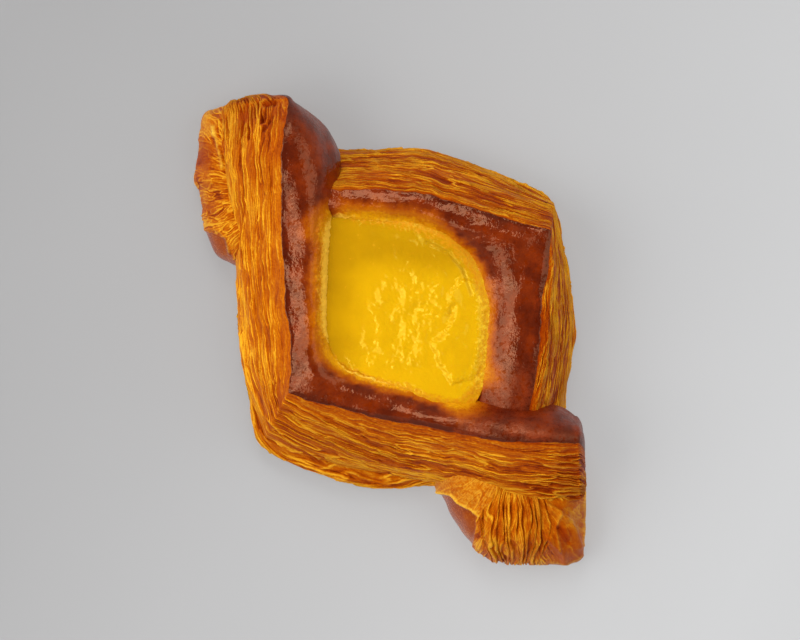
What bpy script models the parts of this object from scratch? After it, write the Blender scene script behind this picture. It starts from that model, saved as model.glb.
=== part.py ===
"""Custard danish: a laminated dough frame with two crossed border strips and a pool of custard.

Frame: metres, +Z up, X across, Y along the long way, Z = 0 on the flat baked underside.
The sizes below are in millimetres and are turned to metres where the mesh is made.
"""
import math

import bmesh
import bpy
import numpy as np

MM = 0.001

# ---- driving dimensions (millimetres) -------------------------------------------------
BASE_EDGE = 8.0            # thickness of the base layer at its rim
BASE_TOP = 9.5             # height of the base layer's top in the middle
BASE_TOP_SHARE = 0.55      # width of the base layer's flat middle as a share of its rim
STRIP_ROOT = 4.0           # underside of a strip, sunk in the base layer
ROOT_SHARE = 0.72          # how far the sunk underside reaches towards the outer edge
CROWN_RISE = 1.9           # most that the glazed crown swells above the crease
CROWN_RISE_SHARE = 0.17    # the same swelling as a share of the crown's width
RIM_LEVEL = 20.4           # height of the dough around the custard's rim
CUSTARD_FLOOR = 9.6        # lowest point of the custard
CUSTARD_RIM = 20.2         # height of the custard's top at its rim
CUSTARD_CROWN = 1.0        # how far the custard swells above its rim
CUSTARD_FLOOR_SHARE = 0.72  # width of the custard's floor as a share of its rim
POCKET_LIP = 1.2           # how far the pocket opens out above the custard's rim
POCKET_HEADROOM = 30.0     # how far the pocket cutter reaches above the custard's rim
BED_MARGIN = 4.5           # how far the dough bed reaches past the custard's rim
GAP = 0.3                  # clearance between the custard and its pocket

UPPER_END_DEPTHS = (1.6, 2.0)  # how far the rounded ends of the upper strip reach out
LOWER_END_DEPTHS = (2.2, 3.0)  # the same for the lower strip
END_LIFT = 0.3             # height an end keeps while its section shrinks, as a share

STEPS_PER_STATION = 3      # rings between two stations of a strip
FACE_STEPS = 10            # points on the outer cut face of a strip, two for each layer
FACE_BULGE = 1.6           # roundness of the cut face: 1 is flat, 2 a full parabola
LAYER_RELIEF = 0.45        # depth of the grooves between the layers of a cut face
CROWN_STEPS = 7            # points on the glazed crown of a strip
CROWN_TURN = 3.1           # how late the crown turns down to the custard
RIM_STEPS = 84             # points round the base layer
POOL_STEPS = 56            # points round the custard
POOL_WALL_STEPS = (0.0, 0.35, 0.7, 1.0)   # heights of the rings of the custard's wall
POOL_WALL_POWER = 1.2      # how the custard's wall steepens upwards
POOL_TOP_STEPS = (0.93, 0.75, 0.5, 0.25)  # widths of the rings of the custard's top
POOL_TOP_POWER = 2.4       # how flat the custard's top is in the middle

# Rings of a strip's rounded end: how far out, and how large, as shares.
END_RINGS = ((0.45, 0.94), (0.8, 0.8), (1.0, 0.55))

# Flank below a strip's inner edge: how far along the splay, and height, as shares.
FLANK = ((0.6, 0.6), (1.0, 0.0))

# Wall of the dough bed round the custard: how far in from the rim, and height.
BED_WALL = ((-BED_MARGIN, STRIP_ROOT), (-BED_MARGIN, 12.0), (-0.6, RIM_LEVEL - 0.5))

# Wall of the base layer from the floor up: how far in from the rim, and height.
BASE_WALL = (
    (2.2, 0.0), (0.6, 1.3), (0.9, 2.3), (0.0, 3.6), (0.4, 4.8), (0.1, 5.8), (1.3, 7.2), (3.4, BASE_EDGE),
)

# Upper strip, from the upper-left tip round the lower-left corner to the lower-right tip.
# Each row: crease x, y; outer edge x, y; inner edge x, y; crease height; inner edge height;
# height of the outer edge; and how far the flank below the inner edge splays out (+) or tucks
# in (-), as a share.
UPPER_CORNER = 7
UPPER_STRIP = (
    (-24.6, 55.0, -40.0, 53.4, -23.0, 54.9, 22.0, 14.0, 9.0, -0.50),
    (-24.8, 50.0, -40.6, 47.0, -16.2, 50.2, 26.5, 15.0, 11.5, -0.35),
    (-25.6, 43.0, -39.8, 40.0, -11.9, 43.0, 28.3, 16.0, 13.5, -0.20),
    (-25.6, 36.0, -38.6, 31.0, -12.0, 36.5, 27.6, 19.4, 12.5, 0.20),
    (-25.8, 25.0, -37.5, 21.0, -14.4, 27.0, 25.6, 20.4, 8.0, 0.35),
    (-25.0, 8.0, -36.7, 6.0, -15.4, 10.0, 24.0, 20.4, 6.0, 0.35),
    (-23.4, -6.0, -35.4, -9.0, -15.2, -2.0, 23.5, 20.4, 6.0, 0.35),
    (-24.3, -15.2, -30.0, -26.0, -12.5, -7.5, 23.3, 20.4, 6.0, 0.35),
    (-14.0, -17.7, -15.0, -32.3, -5.0, -11.2, 23.5, 20.4, 6.0, 0.35),
    (2.0, -20.4, 2.0, -35.2, 6.0, -14.0, 24.0, 20.4, 6.5, 0.35),
    (16.0, -23.4, 15.0, -37.4, 18.0, -16.8, 25.6, 20.4, 9.0, 0.35),
    (28.0, -25.8, 27.0, -39.5, 29.0, -17.2, 27.4, 19.4, 13.0, 0.20),
    (38.0, -26.8, 38.0, -41.2, 40.0, -17.6, 27.8, 16.0, 14.0, -0.20),
    (44.6, -26.6, 45.6, -41.2, 44.6, -20.4, 25.5, 15.0, 12.0, -0.40),
)

# Lower strip, from the upper-left fold round the upper-right corner to the lower-right fold.
LOWER_CORNER = 7
LOWER_STRIP = (
    (-45.2, 35.0, -42.8, 49.5, -39.6, 19.5, 9.5, 8.0, 6.0, -0.10),
    (-39.0, 36.0, -37.0, 50.5, -36.5, 19.0, 14.5, 10.5, 6.0, -0.05),
    (-27.0, 36.0, -26.0, 50.0, -26.0, 21.0, 17.5, 13.0, 6.0, 0.00),
    (-14.5, 33.8, -15.0, 44.2, -15.0, 26.6, 22.0, 18.6, 6.0, 0.25),
    (-5.0, 33.6, -6.0, 43.3, -6.0, 26.3, 22.8, 20.4, 6.0, 0.35),
    (8.0, 32.5, 8.0, 43.4, 6.5, 24.8, 23.5, 20.4, 6.0, 0.35),
    (22.0, 28.2, 22.5, 39.0, 14.0, 21.5, 24.0, 20.4, 6.0, 0.35),
    (38.5, 24.0, 39.4, 31.0, 19.5, 16.8, 24.2, 20.4, 6.0, 0.35),
    (38.6, 13.0, 42.3, 15.5, 22.2, 9.5, 24.1, 20.4, 6.0, 0.35),
    (38.0, 2.0, 44.2, 3.0, 22.8, 1.5, 23.9, 20.4, 6.0, 0.35),
    (36.9, -9.0, 43.2, -9.0, 22.2, -8.0, 23.2, 20.4, 6.0, 0.35),
    (35.0, -19.0, 42.0, -20.0, 20.5, -17.0, 22.0, 18.8, 6.0, 0.25),
    (33.0, -32.0, 45.0, -31.0, 17.5, -32.0, 17.5, 13.0, 6.0, 0.00),
    (32.5, -43.0, 46.6, -43.0, 15.0, -41.5, 15.5, 10.5, 6.0, -0.05),
    (34.5, -52.4, 45.6, -53.4, 22.0, -51.4, 9.5, 8.0, 6.0, -0.10),
)

# Rim of the base layer, anticlockwise from the left side.
BASE_RIM = (
    (-37.0, 14.0), (-36.4, 0.0), (-34.0, -15.0), (-30.4, -28.4), (-13.0, -36.0), (0.0, -38.4),
    (11.5, -38.4), (18.0, -48.0), (24.5, -55.4), (36.0, -56.6), (46.0, -55.4), (47.3, -44.0),
    (46.2, -30.0), (42.2, -18.0), (44.2, -5.0), (44.5, 3.0), (42.0, 20.0), (38.8, 31.2),
    (26.3, 37.6), (14.8, 41.8), (4.8, 43.7), (-6.6, 43.6), (-13.5, 45.5), (-21.0, 54.2),
    (-27.5, 56.7), (-42.5, 52.6), (-47.3, 37.0), (-44.0, 24.0),
)

# Rim of the custard, anticlockwise from the upper left.
CUSTARD_OUTLINE = (
    (-13.6, 26.2), (-15.3, 14.4), (-15.3, 1.0), (-13.2, -6.4), (-8.6, -10.4), (4.0, -13.9),
    (16.6, -16.8), (20.6, -12.0), (22.7, -1.0), (22.0, 9.5), (17.0, 18.8), (7.2, 24.4),
    (-4.0, 26.4),
)


def catmull(points, t):
    """Return the point at parameter t of a smooth curve through the points.

    Args:
        points: array of rows, one row per station.
        t: station number with its fraction, 0 to len(points) - 1.
    Returns:
        The interpolated row.
    """
    last = len(points) - 1
    i = min(int(math.floor(t)), last - 1)
    f = t - i
    a = points[i - 1] if i > 0 else 2 * points[0] - points[1]
    b, c = points[i], points[i + 1]
    d = points[i + 2] if i + 2 <= last else 2 * points[last] - points[last - 1]
    square = (2 * a - 5 * b + 4 * c - d) * f ** 2
    cube = (3 * b - a - 3 * c + d) * f ** 3
    return 0.5 * (2 * b + (c - a) * f + square + cube)


def closed_curve(points, count):
    """Return count points spread evenly in parameter on a smooth closed curve through the points."""
    rows = np.array(points, float)
    n = len(rows)
    wrapped = np.vstack([rows[-1:], rows, rows[:2]])
    return np.array([catmull(wrapped, 1 + k * n / count) for k in range(count)])


def strip_row(rows, corner, t):
    """Return one interpolated station of a strip, with a mitre at its corner station."""
    smooth = catmull(rows, t)
    leg = catmull(rows[:corner + 1], t) if t <= corner else catmull(rows[corner:], t - corner)
    leg[4:] = smooth[4:]
    return leg


def strip_ring(row):
    """Return the closed section of a strip at one station.

    The section runs from the sunk root up the bulging cut face to the crease, over the
    glazed crown and down the inner slope to the root again.
    """
    crease, outer, inner = row[0:2], row[2:4], row[4:6]
    high, low, foot, splay = row[6:10]
    face_width = np.linalg.norm(outer - crease)
    rise = min(CROWN_RISE, CROWN_RISE_SHARE * np.linalg.norm(inner - crease))
    ring = [(*(crease + (outer - crease) * ROOT_SHARE), STRIP_ROOT)]
    for k in range(FACE_STEPS):
        t = k / FACE_STEPS
        reach = 1.0 - t ** FACE_BULGE - (k % 2 == 0) * LAYER_RELIEF / face_width
        ring.append((*(crease + (outer - crease) * reach), foot + (high - foot) * t))
    for k in range(CROWN_STEPS + 1):
        u = k / CROWN_STEPS
        z = high - (high - low) * u ** CROWN_TURN + rise * math.sin(math.pi * u)
        ring.append((*(crease + (inner - crease) * u), z))
    for share, level in FLANK:
        flank = inner + (inner - crease) * splay * share
        ring.append((*flank, STRIP_ROOT + (low - STRIP_ROOT) * level))
    return np.array(ring)


def end_rings(ring, way, depth):
    """Return rings that round off the end of a strip along the given way."""
    centre = np.array([*ring[:, :2].mean(axis=0), STRIP_ROOT])
    rings = []
    for share, size in END_RINGS:
        tall = END_LIFT + (1 - END_LIFT) * size
        moved = centre + (ring - centre) * np.array([size, size, tall])
        rings.append(moved + np.array([way[0], way[1], 0.0]) * depth * share)
    return rings


def mesh_object(name, verts, faces, collection, material):
    """Make a mesh object from vertices in millimetres and give it its material."""
    mesh = bpy.data.meshes.new(name)
    mesh.from_pydata([tuple(c * MM for c in v) for v in verts], [], faces)
    bm = bmesh.new()
    bm.from_mesh(mesh)
    bmesh.ops.recalc_face_normals(bm, faces=bm.faces)
    bmesh.ops.triangulate(bm, faces=bm.faces)
    bm.to_mesh(mesh)
    bm.free()
    obj = bpy.data.objects.new(name, mesh)
    collection.objects.link(obj)
    if material:
        mesh.materials.append(material)
    return obj


def loft(name, rings, collection, material=None):
    """Join equal rings into one closed body with flat ends."""
    count = len(rings[0])
    verts = np.vstack(rings)
    faces = []
    for r in range(len(rings) - 1):
        for k in range(count):
            n = (k + 1) % count
            faces.append((r * count + k, r * count + n, (r + 1) * count + n, (r + 1) * count + k))
    faces.append(tuple(range(count)))
    faces.append(tuple((len(rings) - 1) * count + k for k in range(count)))
    return mesh_object(name, verts, faces, collection, material)


def strip(name, table, corner, end_depths, collection):
    """Make one border strip as a closed loft with rounded ends."""
    rows = np.array(table, float)
    steps = (len(rows) - 1) * STEPS_PER_STATION
    samples = [strip_row(rows, corner, k / STEPS_PER_STATION) for k in range(steps + 1)]
    rings = [strip_ring(row) for row in samples]
    ways = []
    for first, second in ((0, 1), (-1, -2)):
        way = samples[first][0:2] - samples[second][0:2]
        ways.append(way / np.linalg.norm(way))
    start = end_rings(rings[0], ways[0], end_depths[0])
    finish = end_rings(rings[-1], ways[1], end_depths[1])
    return loft(name, start[::-1] + rings + finish, collection)


def inset(curve, amount):
    """Move a closed anticlockwise curve inwards by the amount."""
    way = np.roll(curve, -1, axis=0) - np.roll(curve, 1, axis=0)
    way /= np.linalg.norm(way, axis=1)[:, None]
    return curve + np.column_stack([-way[:, 1], way[:, 0]]) * amount


def base(collection, material):
    """Make the base layer: flat underside, rounded cut rim and a slightly domed top."""
    rim = closed_curve(BASE_RIM, RIM_STEPS)
    rings = [np.column_stack([inset(rim, depth), np.full(RIM_STEPS, z)]) for depth, z in BASE_WALL]
    centre = rim.mean(axis=0)
    shrunk = centre + (rim - centre) * BASE_TOP_SHARE
    rings.append(np.column_stack([shrunk, np.full(RIM_STEPS, BASE_TOP)]))
    return loft("pastry", rings, collection, material)


def pool(name, grow, collection, material=None):
    """Make the custard, or with grow its pocket cutter, as a bowl with a swelling top."""
    rim = closed_curve(CUSTARD_OUTLINE, POOL_STEPS)
    centre = rim.mean(axis=0)
    rings = []
    depth = CUSTARD_RIM - CUSTARD_FLOOR
    for u in POOL_WALL_STEPS:
        share = CUSTARD_FLOOR_SHARE + (1 - CUSTARD_FLOOR_SHARE) * math.sin(0.5 * math.pi * u)
        outline = inset(centre + (rim - centre) * share, -grow)
        z = CUSTARD_FLOOR - grow + (depth + grow) * u ** POOL_WALL_POWER
        rings.append(np.column_stack([outline, np.full(POOL_STEPS, z)]))
    if grow:
        top = inset(rim, -grow - POCKET_LIP)
        rings.append(np.column_stack([top, np.full(POOL_STEPS, CUSTARD_RIM + CUSTARD_CROWN)]))
        rings.append(np.column_stack([top, np.full(POOL_STEPS, CUSTARD_RIM + POCKET_HEADROOM)]))
    else:
        for share in POOL_TOP_STEPS:
            z = CUSTARD_RIM + CUSTARD_CROWN * (1 - share ** POOL_TOP_POWER)
            rings.append(np.column_stack([centre + (rim - centre) * share, np.full(POOL_STEPS, z)]))
    return loft(name, rings, collection, material)


def bed(collection):
    """Make the block of dough that closes the space round and under the custard."""
    rim = closed_curve(CUSTARD_OUTLINE, POOL_STEPS)
    rings = [np.column_stack([inset(rim, depth), np.full(POOL_STEPS, z)]) for depth, z in BED_WALL]
    return loft("bed", rings, collection)


def combine(target, other, operation):
    """Join or cut the target with another solid and keep the result as its mesh."""
    modifier = target.modifiers.new(operation.lower(), "BOOLEAN")
    modifier.operation = operation
    modifier.solver = "EXACT"
    modifier.object = other
    graph = bpy.context.evaluated_depsgraph_get()
    mesh = bpy.data.meshes.new_from_object(target.evaluated_get(graph))
    target.modifiers.clear()
    old = target.data
    target.data = mesh
    mesh.name = target.name
    bpy.data.meshes.remove(old)


def finish(name, colour, roughness):
    """Return a plain material with the given colour and roughness."""
    material = bpy.data.materials.new(name)
    material.use_nodes = True
    shader = material.node_tree.nodes["Principled BSDF"]
    shader.inputs["Base Color"].default_value = (*colour, 1.0)
    shader.inputs["Roughness"].default_value = roughness
    return material


def collections():
    """Return the collection for the parts and the hidden one for the cutters."""
    parts = bpy.data.collections.new("danish_pastry")
    cutters = bpy.data.collections.new("cutters")
    for collection in (parts, cutters):
        bpy.context.scene.collection.children.link(collection)
    return parts, cutters


def main():
    """Build the pastry and its custard."""
    for obj in list(bpy.data.objects):
        bpy.data.objects.remove(obj, do_unlink=True)
    parts, cutters = collections()
    crust = finish("crust", (0.42, 0.16, 0.02), 0.4)
    custard = finish("custard", (0.85, 0.50, 0.02), 0.25)

    dough = base(parts, crust)
    tools = [
        strip("lower_strip", LOWER_STRIP, LOWER_CORNER, LOWER_END_DEPTHS, cutters),
        strip("upper_strip", UPPER_STRIP, UPPER_CORNER, UPPER_END_DEPTHS, cutters),
        bed(cutters),
    ]
    for tool in tools:
        combine(dough, tool, "UNION")
    pocket = pool("pocket", GAP, cutters)
    combine(dough, pocket, "DIFFERENCE")
    for cutter in tools + [pocket]:
        cutter.hide_render = True
        cutter.display_type = "WIRE"
    pool("custard", 0.0, parts, custard)


main()
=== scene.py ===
"""Custard danish: crossed strips of laminated dough round a pool of baked custard.

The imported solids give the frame; this script dresses them. All shapes below are laid out in
millimetres and turned to metres where a mesh is made. X runs across, Y along the long way.
"""
from __future__ import annotations

import logging
import math
from dataclasses import dataclass, field
from enum import Enum

import bmesh
import bpy
import numpy as np
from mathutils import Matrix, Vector


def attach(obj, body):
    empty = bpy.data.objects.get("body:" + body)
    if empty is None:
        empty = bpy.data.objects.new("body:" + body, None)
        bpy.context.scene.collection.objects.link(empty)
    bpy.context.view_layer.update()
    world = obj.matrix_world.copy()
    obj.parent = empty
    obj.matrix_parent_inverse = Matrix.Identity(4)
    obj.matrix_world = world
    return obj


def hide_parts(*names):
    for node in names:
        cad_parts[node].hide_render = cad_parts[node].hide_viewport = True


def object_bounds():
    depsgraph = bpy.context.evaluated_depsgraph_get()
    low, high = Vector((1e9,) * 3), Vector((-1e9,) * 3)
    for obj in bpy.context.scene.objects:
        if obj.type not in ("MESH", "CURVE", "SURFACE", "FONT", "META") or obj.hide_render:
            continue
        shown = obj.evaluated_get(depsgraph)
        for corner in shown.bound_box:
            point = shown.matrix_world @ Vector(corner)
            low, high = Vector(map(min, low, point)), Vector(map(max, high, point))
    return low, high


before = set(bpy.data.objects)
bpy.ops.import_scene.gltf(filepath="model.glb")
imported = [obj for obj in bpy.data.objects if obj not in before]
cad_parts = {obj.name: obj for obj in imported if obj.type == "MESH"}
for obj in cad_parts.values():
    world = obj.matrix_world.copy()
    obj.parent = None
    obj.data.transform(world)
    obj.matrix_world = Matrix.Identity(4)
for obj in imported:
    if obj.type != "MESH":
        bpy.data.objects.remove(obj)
CAD_LOW, CAD_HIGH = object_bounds()

LOG = logging.getLogger("danish")
MM = 0.001
Colour = tuple[float, float, float]
Place = tuple[float, float]
Socket = bpy.types.NodeSocket

# ---- form of the dough, in millimetres --------------------------------------------------
STRIP_ROOT = 4.0
FACE_BULGE = 1.6
CROWN_RISE = 2.4
BASE_EDGE = 8.0
BASE_TOP = 9.5
CUSTARD_RIM = 20.2
CUSTARD_FLOOR = 10.2

# Each row: crease x, y; outer edge x, y; inner edge x, y; crease height; inner edge height;
# height of the outer edge; and how far the flank below the inner edge splays out (+) or tucks
# in (-), as a share.
UPPER_STRIP = (
    (-24.6, 55.0, -40.0, 53.4, -23.0, 54.9, 22.0, 14.0, 9.0, -0.50),
    (-24.8, 50.0, -40.6, 47.0, -16.2, 50.2, 26.5, 15.0, 11.5, -0.35),
    (-25.6, 43.0, -39.8, 40.0, -11.9, 43.0, 28.3, 16.0, 13.5, -0.20),
    (-25.6, 36.0, -38.6, 31.0, -12.0, 36.5, 27.6, 19.4, 12.5, 0.20),
    (-25.8, 25.0, -37.5, 21.0, -14.4, 27.0, 25.6, 20.4, 8.0, 0.35),
    (-25.0, 8.0, -36.7, 6.0, -15.4, 10.0, 24.0, 20.4, 6.0, 0.35),
    (-23.4, -6.0, -35.4, -9.0, -15.2, -2.0, 23.5, 20.4, 6.0, 0.35),
    (-24.3, -15.2, -30.0, -26.0, -12.5, -7.5, 23.3, 20.4, 6.0, 0.35),
    (-14.0, -17.7, -15.0, -32.3, -5.0, -11.2, 23.5, 20.4, 6.0, 0.35),
    (2.0, -20.4, 2.0, -35.2, 6.0, -14.0, 24.0, 20.4, 6.5, 0.35),
    (16.0, -23.4, 15.0, -37.4, 18.0, -16.8, 25.6, 20.4, 9.0, 0.35),
    (28.0, -25.8, 27.0, -39.5, 29.0, -17.2, 27.4, 19.4, 13.0, 0.20),
    (38.0, -26.8, 38.0, -41.2, 40.0, -17.6, 27.8, 16.0, 14.0, -0.20),
    (44.6, -26.6, 45.6, -41.2, 44.6, -20.4, 25.5, 15.0, 12.0, -0.40),
)
UPPER_CORNER = 7
LOWER_STRIP = (
    (-27.0, 36.0, -26.0, 50.0, -26.0, 21.0, 17.5, 13.0, 6.0, 0.00),
    (-14.5, 33.8, -15.0, 44.2, -15.0, 26.6, 22.0, 18.6, 6.0, 0.25),
    (-5.0, 33.6, -6.0, 43.3, -6.0, 26.3, 22.8, 20.4, 6.0, 0.35),
    (8.0, 32.5, 8.0, 43.4, 6.5, 24.8, 23.5, 20.4, 6.0, 0.35),
    (22.0, 28.2, 22.5, 39.0, 14.0, 21.5, 24.0, 20.4, 6.0, 0.35),
    (38.5, 24.0, 39.4, 31.0, 19.5, 16.8, 24.2, 20.4, 6.0, 0.35),
    (38.6, 13.0, 42.3, 15.5, 22.2, 9.5, 24.1, 20.4, 6.0, 0.35),
    (38.0, 2.0, 44.2, 3.0, 22.8, 1.5, 23.9, 20.4, 6.0, 0.35),
    (36.9, -9.0, 43.2, -9.0, 22.2, -8.0, 23.2, 20.4, 6.0, 0.35),
    (35.0, -19.0, 42.0, -20.0, 20.5, -17.0, 22.0, 18.8, 6.0, 0.25),
    (33.0, -32.0, 45.0, -31.0, 17.5, -32.0, 17.5, 13.0, 6.0, 0.00),
)
LOWER_CORNER = 5
BASE_RIM = (
    (-37.0, 14.0), (-36.4, 0.0), (-34.0, -15.0), (-30.4, -28.4), (-13.0, -36.0), (0.0, -38.4),
    (11.5, -38.0), (18.0, -44.0), (25.0, -51.0), (35.0, -52.5), (42.5, -51.5), (44.0, -43.0),
    (44.4, -30.0), (42.2, -18.0), (44.2, -5.0), (44.5, 3.0), (42.0, 20.0), (38.8, 31.2),
    (26.3, 37.6), (14.8, 41.8), (4.8, 43.7), (-6.6, 43.6), (-14.0, 44.5), (-20.5, 51.5),
    (-27.5, 54.0), (-40.5, 50.5), (-43.5, 37.0), (-41.0, 24.0),
)
CUSTARD_OUTLINE = (
    (-13.6, 26.2), (-15.3, 14.4), (-15.3, 1.0), (-13.2, -6.4), (-8.6, -10.4), (4.0, -13.9),
    (16.6, -16.8), (20.6, -12.0), (22.7, -1.0), (22.0, 9.5), (17.0, 18.8), (7.2, 24.4),
    (-4.0, 26.4),
)
TIP_UPPER_LEFT = (
    (-15.0, 34.0), (-17.0, 43.0), (-20.5, 51.5), (-27.5, 55.4), (-36.0, 54.8), (-41.5, 53.5),
    (-44.4, 52.0), (-45.4, 48.0), (-46.1, 43.5), (-46.7, 39.5), (-47.2, 36.2), (-46.0, 33.5),
    (-45.3, 29.0), (-44.4, 23.5), (-42.2, 18.8), (-38.8, 16.0), (-34.0, 15.5), (-27.0, 21.0),
    (-18.0, 27.0),
)
TIP_LOWER_RIGHT = (
    (36.0, -20.0), (29.0, -19.0), (21.0, -22.0), (13.5, -28.5), (11.2, -34.5), (12.2, -39.6),
    (15.4, -46.1), (18.7, -50.7), (22.4, -54.4), (26.6, -56.0), (33.5, -56.5), (39.5, -56.6),
    (43.6, -56.3), (46.2, -55.0), (46.9, -51.0), (47.2, -43.2), (46.8, -36.0), (46.0, -29.0),
    (42.5, -22.5),
)

# Side of a folded tip from its middle outwards and down: reach and height, as shares.
TIP_PROFILE = (
    (0.02, 1.0), (0.30, 1.0), (0.55, 0.97), (0.72, 0.90), (0.85, 0.76), (0.94, 0.56),
    (0.99, 0.34), (1.0, 0.18), (0.985, 0.06), (0.955, 0.0),
)


class Slot(Enum):
    """The record's material slots."""

    CRUST = "crust"
    CUSTARD = "custard"


# ---- small mathematics --------------------------------------------------------------------
def smooth_step(low: float, high: float, value: np.ndarray) -> np.ndarray:
    """Return 0 below low, 1 above high and a smooth rise between them."""
    t = np.clip((value - low) / (high - low), 0.0, 1.0)
    return t * t * (3.0 - 2.0 * t)


def bell(value: np.ndarray, middle: float, reach: float) -> np.ndarray:
    """Return 1 at the middle and a soft fall to nothing over the reach."""
    return np.exp(-((value - middle) / reach) ** 2)


def catmull(points: np.ndarray, t: np.ndarray) -> np.ndarray:
    """Read a smooth curve through rows of points.

    Args:
        points: one row for each station.
        t: station numbers with their fractions.
    Returns:
        One row for each entry of t.
    """
    last = len(points) - 1
    padded = np.vstack([2 * points[0] - points[1], points, 2 * points[last] - points[last - 1]])
    i = np.clip(np.floor(t).astype(int), 0, last - 1)
    f = (t - i)[:, None]
    a, b, c, d = padded[i], padded[i + 1], padded[i + 2], padded[i + 3]
    cubic = (3 * b - a - 3 * c + d) * f ** 3
    return 0.5 * (2 * b + (c - a) * f + (2 * a - 5 * b + 4 * c - d) * f ** 2 + cubic)


def closed_curve(points: tuple, count: int) -> np.ndarray:
    """Return count points evenly spaced by length on a smooth closed curve.

    Args:
        points: the curve's stations, anticlockwise.
        count: how many points to return.
    Returns:
        Rows of x, y.
    """
    rows = np.array(points, float)
    n = len(rows)
    wrapped = np.vstack([rows[-1:], rows, rows[:2]])
    fine = catmull(wrapped, 1 + np.arange(n * 40 + 1) / 40)
    run = np.concatenate([[0.0], np.cumsum(np.linalg.norm(np.diff(fine, axis=0), axis=1))])
    at = np.arange(count) * run[-1] / count
    return np.column_stack([np.interp(at, run, fine[:, k]) for k in range(2)])


def inset(curve: np.ndarray, amount: float | np.ndarray) -> np.ndarray:
    """Move a closed anticlockwise curve inwards.

    Args:
        curve: rows of x, y.
        amount: how far, for the whole curve or for each point.
    Returns:
        The moved rows.
    """
    way = np.roll(curve, -1, axis=0) - np.roll(curve, 1, axis=0)
    way = way / np.linalg.norm(way, axis=1)[:, None]
    inward = np.column_stack([-way[:, 1], way[:, 0]])
    return curve + inward * np.reshape(amount, (-1, 1))


def at_height(flat: np.ndarray, z: float) -> np.ndarray:
    """Return rows of x, y with the height z added."""
    return np.column_stack([flat, np.full(len(flat), z)])


def distance_to(x: np.ndarray, y: np.ndarray, points: tuple) -> np.ndarray:
    """Measure the way to a line.

    Args:
        x: places across.
        y: places along.
        points: the line's corners.
    Returns:
        How far each place is from the line.
    """
    nearest = np.full(x.shape, np.inf)
    for (x0, y0), (x1, y1) in zip(points[:-1], points[1:]):
        dx, dy = x1 - x0, y1 - y0
        t = np.clip(((x - x0) * dx + (y - y0) * dy) / (dx * dx + dy * dy), 0.0, 1.0)
        nearest = np.minimum(nearest, np.hypot(x - x0 - t * dx, y - y0 - t * dy))
    return nearest


@dataclass(frozen=True)
class Grain:
    """Seeded smooth noise over a plane.

    Attributes:
        seed: the number that fixes the pattern.
    """

    seed: int

    def read(self, x: np.ndarray, y: np.ndarray) -> np.ndarray:
        """Read the noise on a lattice of unit cells.

        Args:
            x: places across.
            y: places along.
        Returns:
            Smooth values of about -1 to 1.
        """
        size = 1024
        rng = np.random.default_rng(self.seed)
        angle = rng.uniform(0.0, 2.0 * math.pi, size)
        order = rng.permutation(size)
        gx, gy = np.cos(angle), np.sin(angle)
        x0, y0 = np.floor(x), np.floor(y)
        fx, fy = x - x0, y - y0
        xi, yi = x0.astype(int), y0.astype(int)

        def corner(dx: int, dy: int) -> np.ndarray:
            """Return one lattice corner's part."""
            pick = order[(xi + dx + order[(yi + dy) % size]) % size]
            return gx[pick] * (fx - dx) + gy[pick] * (fy - dy)

        sx = fx ** 3 * (fx * (fx * 6 - 15) + 10)
        sy = fy ** 3 * (fy * (fy * 6 - 15) + 10)
        low = corner(0, 0) * (1 - sx) + corner(1, 0) * sx
        high = corner(0, 1) * (1 - sx) + corner(1, 1) * sx
        return 1.5 * (low * (1 - sy) + high * sy)


def grain_sum(x: np.ndarray, y: np.ndarray, *layers: tuple[int, float, float, float]) -> np.ndarray:
    """Add up layers of noise.

    Args:
        x: places across.
        y: places along.
        layers: each one's seed, its strength, and the size of its cells across and along.
    Returns:
        The sum at each place.
    """
    return sum(strength * Grain(seed).read(x / wide, y / long) for seed, strength, wide, long in layers)


@dataclass(frozen=True)
class Stroke:
    """A soft line drawn on a surface.

    Attributes:
        points: the line's corners.
        width: how far it reaches to each side.
    """

    points: tuple[Place, ...]
    width: float

    def weight(self, x: np.ndarray, y: np.ndarray) -> np.ndarray:
        """Return 1 on the line, fading beside it."""
        return np.exp(-(distance_to(x, y, self.points) / self.width) ** 2)


@dataclass(frozen=True)
class Patch:
    """A soft-edged area of a surface.

    Attributes:
        outline: the area's corners in order.
        soft: half the width of its fading edge.
        ragged: how far the edge wanders.
    """

    outline: tuple[Place, ...]
    soft: float
    ragged: float = 0.0

    def weight(self, x: np.ndarray, y: np.ndarray) -> np.ndarray:
        """Work out how far places are inside the area.

        Args:
            x: places across.
            y: places along.
        Returns:
            1 inside the area and 0 outside, fading at its edge.
        """
        ring = self.outline + self.outline[:1]
        inside = np.zeros(x.shape, bool)
        for (x0, y0), (x1, y1) in zip(ring[:-1], ring[1:]):
            if y0 != y1:
                inside ^= ((y0 > y) != (y1 > y)) & (x < x0 + (y - y0) * (x1 - x0) / (y1 - y0))
        depth = np.where(inside, 1.0, -1.0) * distance_to(x, y, ring)
        depth = depth + self.ragged * grain_sum(x, y, (51, 1.0, 1.6, 1.6), (52, 0.5, 0.6, 0.6))
        return smooth_step(-self.soft, self.soft, depth)


@dataclass(frozen=True)
class Mark:
    """What one spot of the dough has of its own, each value at the middle of its area.

    Attributes:
        area: where it is.
        height: how far it stands out.
        calm: how far it smooths the leaves away, 0 to 1.
        tone: lighter (+) or darker (-) leaves.
        bake: harder baked; on some grooves it goes with painted shade, and on one patch of a tip with a
            painted sheen.
        pale: soft and hardly browned.
        glaze: egg-washed.
    """

    area: Patch | Stroke
    height: float = 0.0
    calm: float = 0.0
    tone: float = 0.0
    bake: float = 0.0
    pale: float = 0.0
    glaze: float = 0.0


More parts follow.
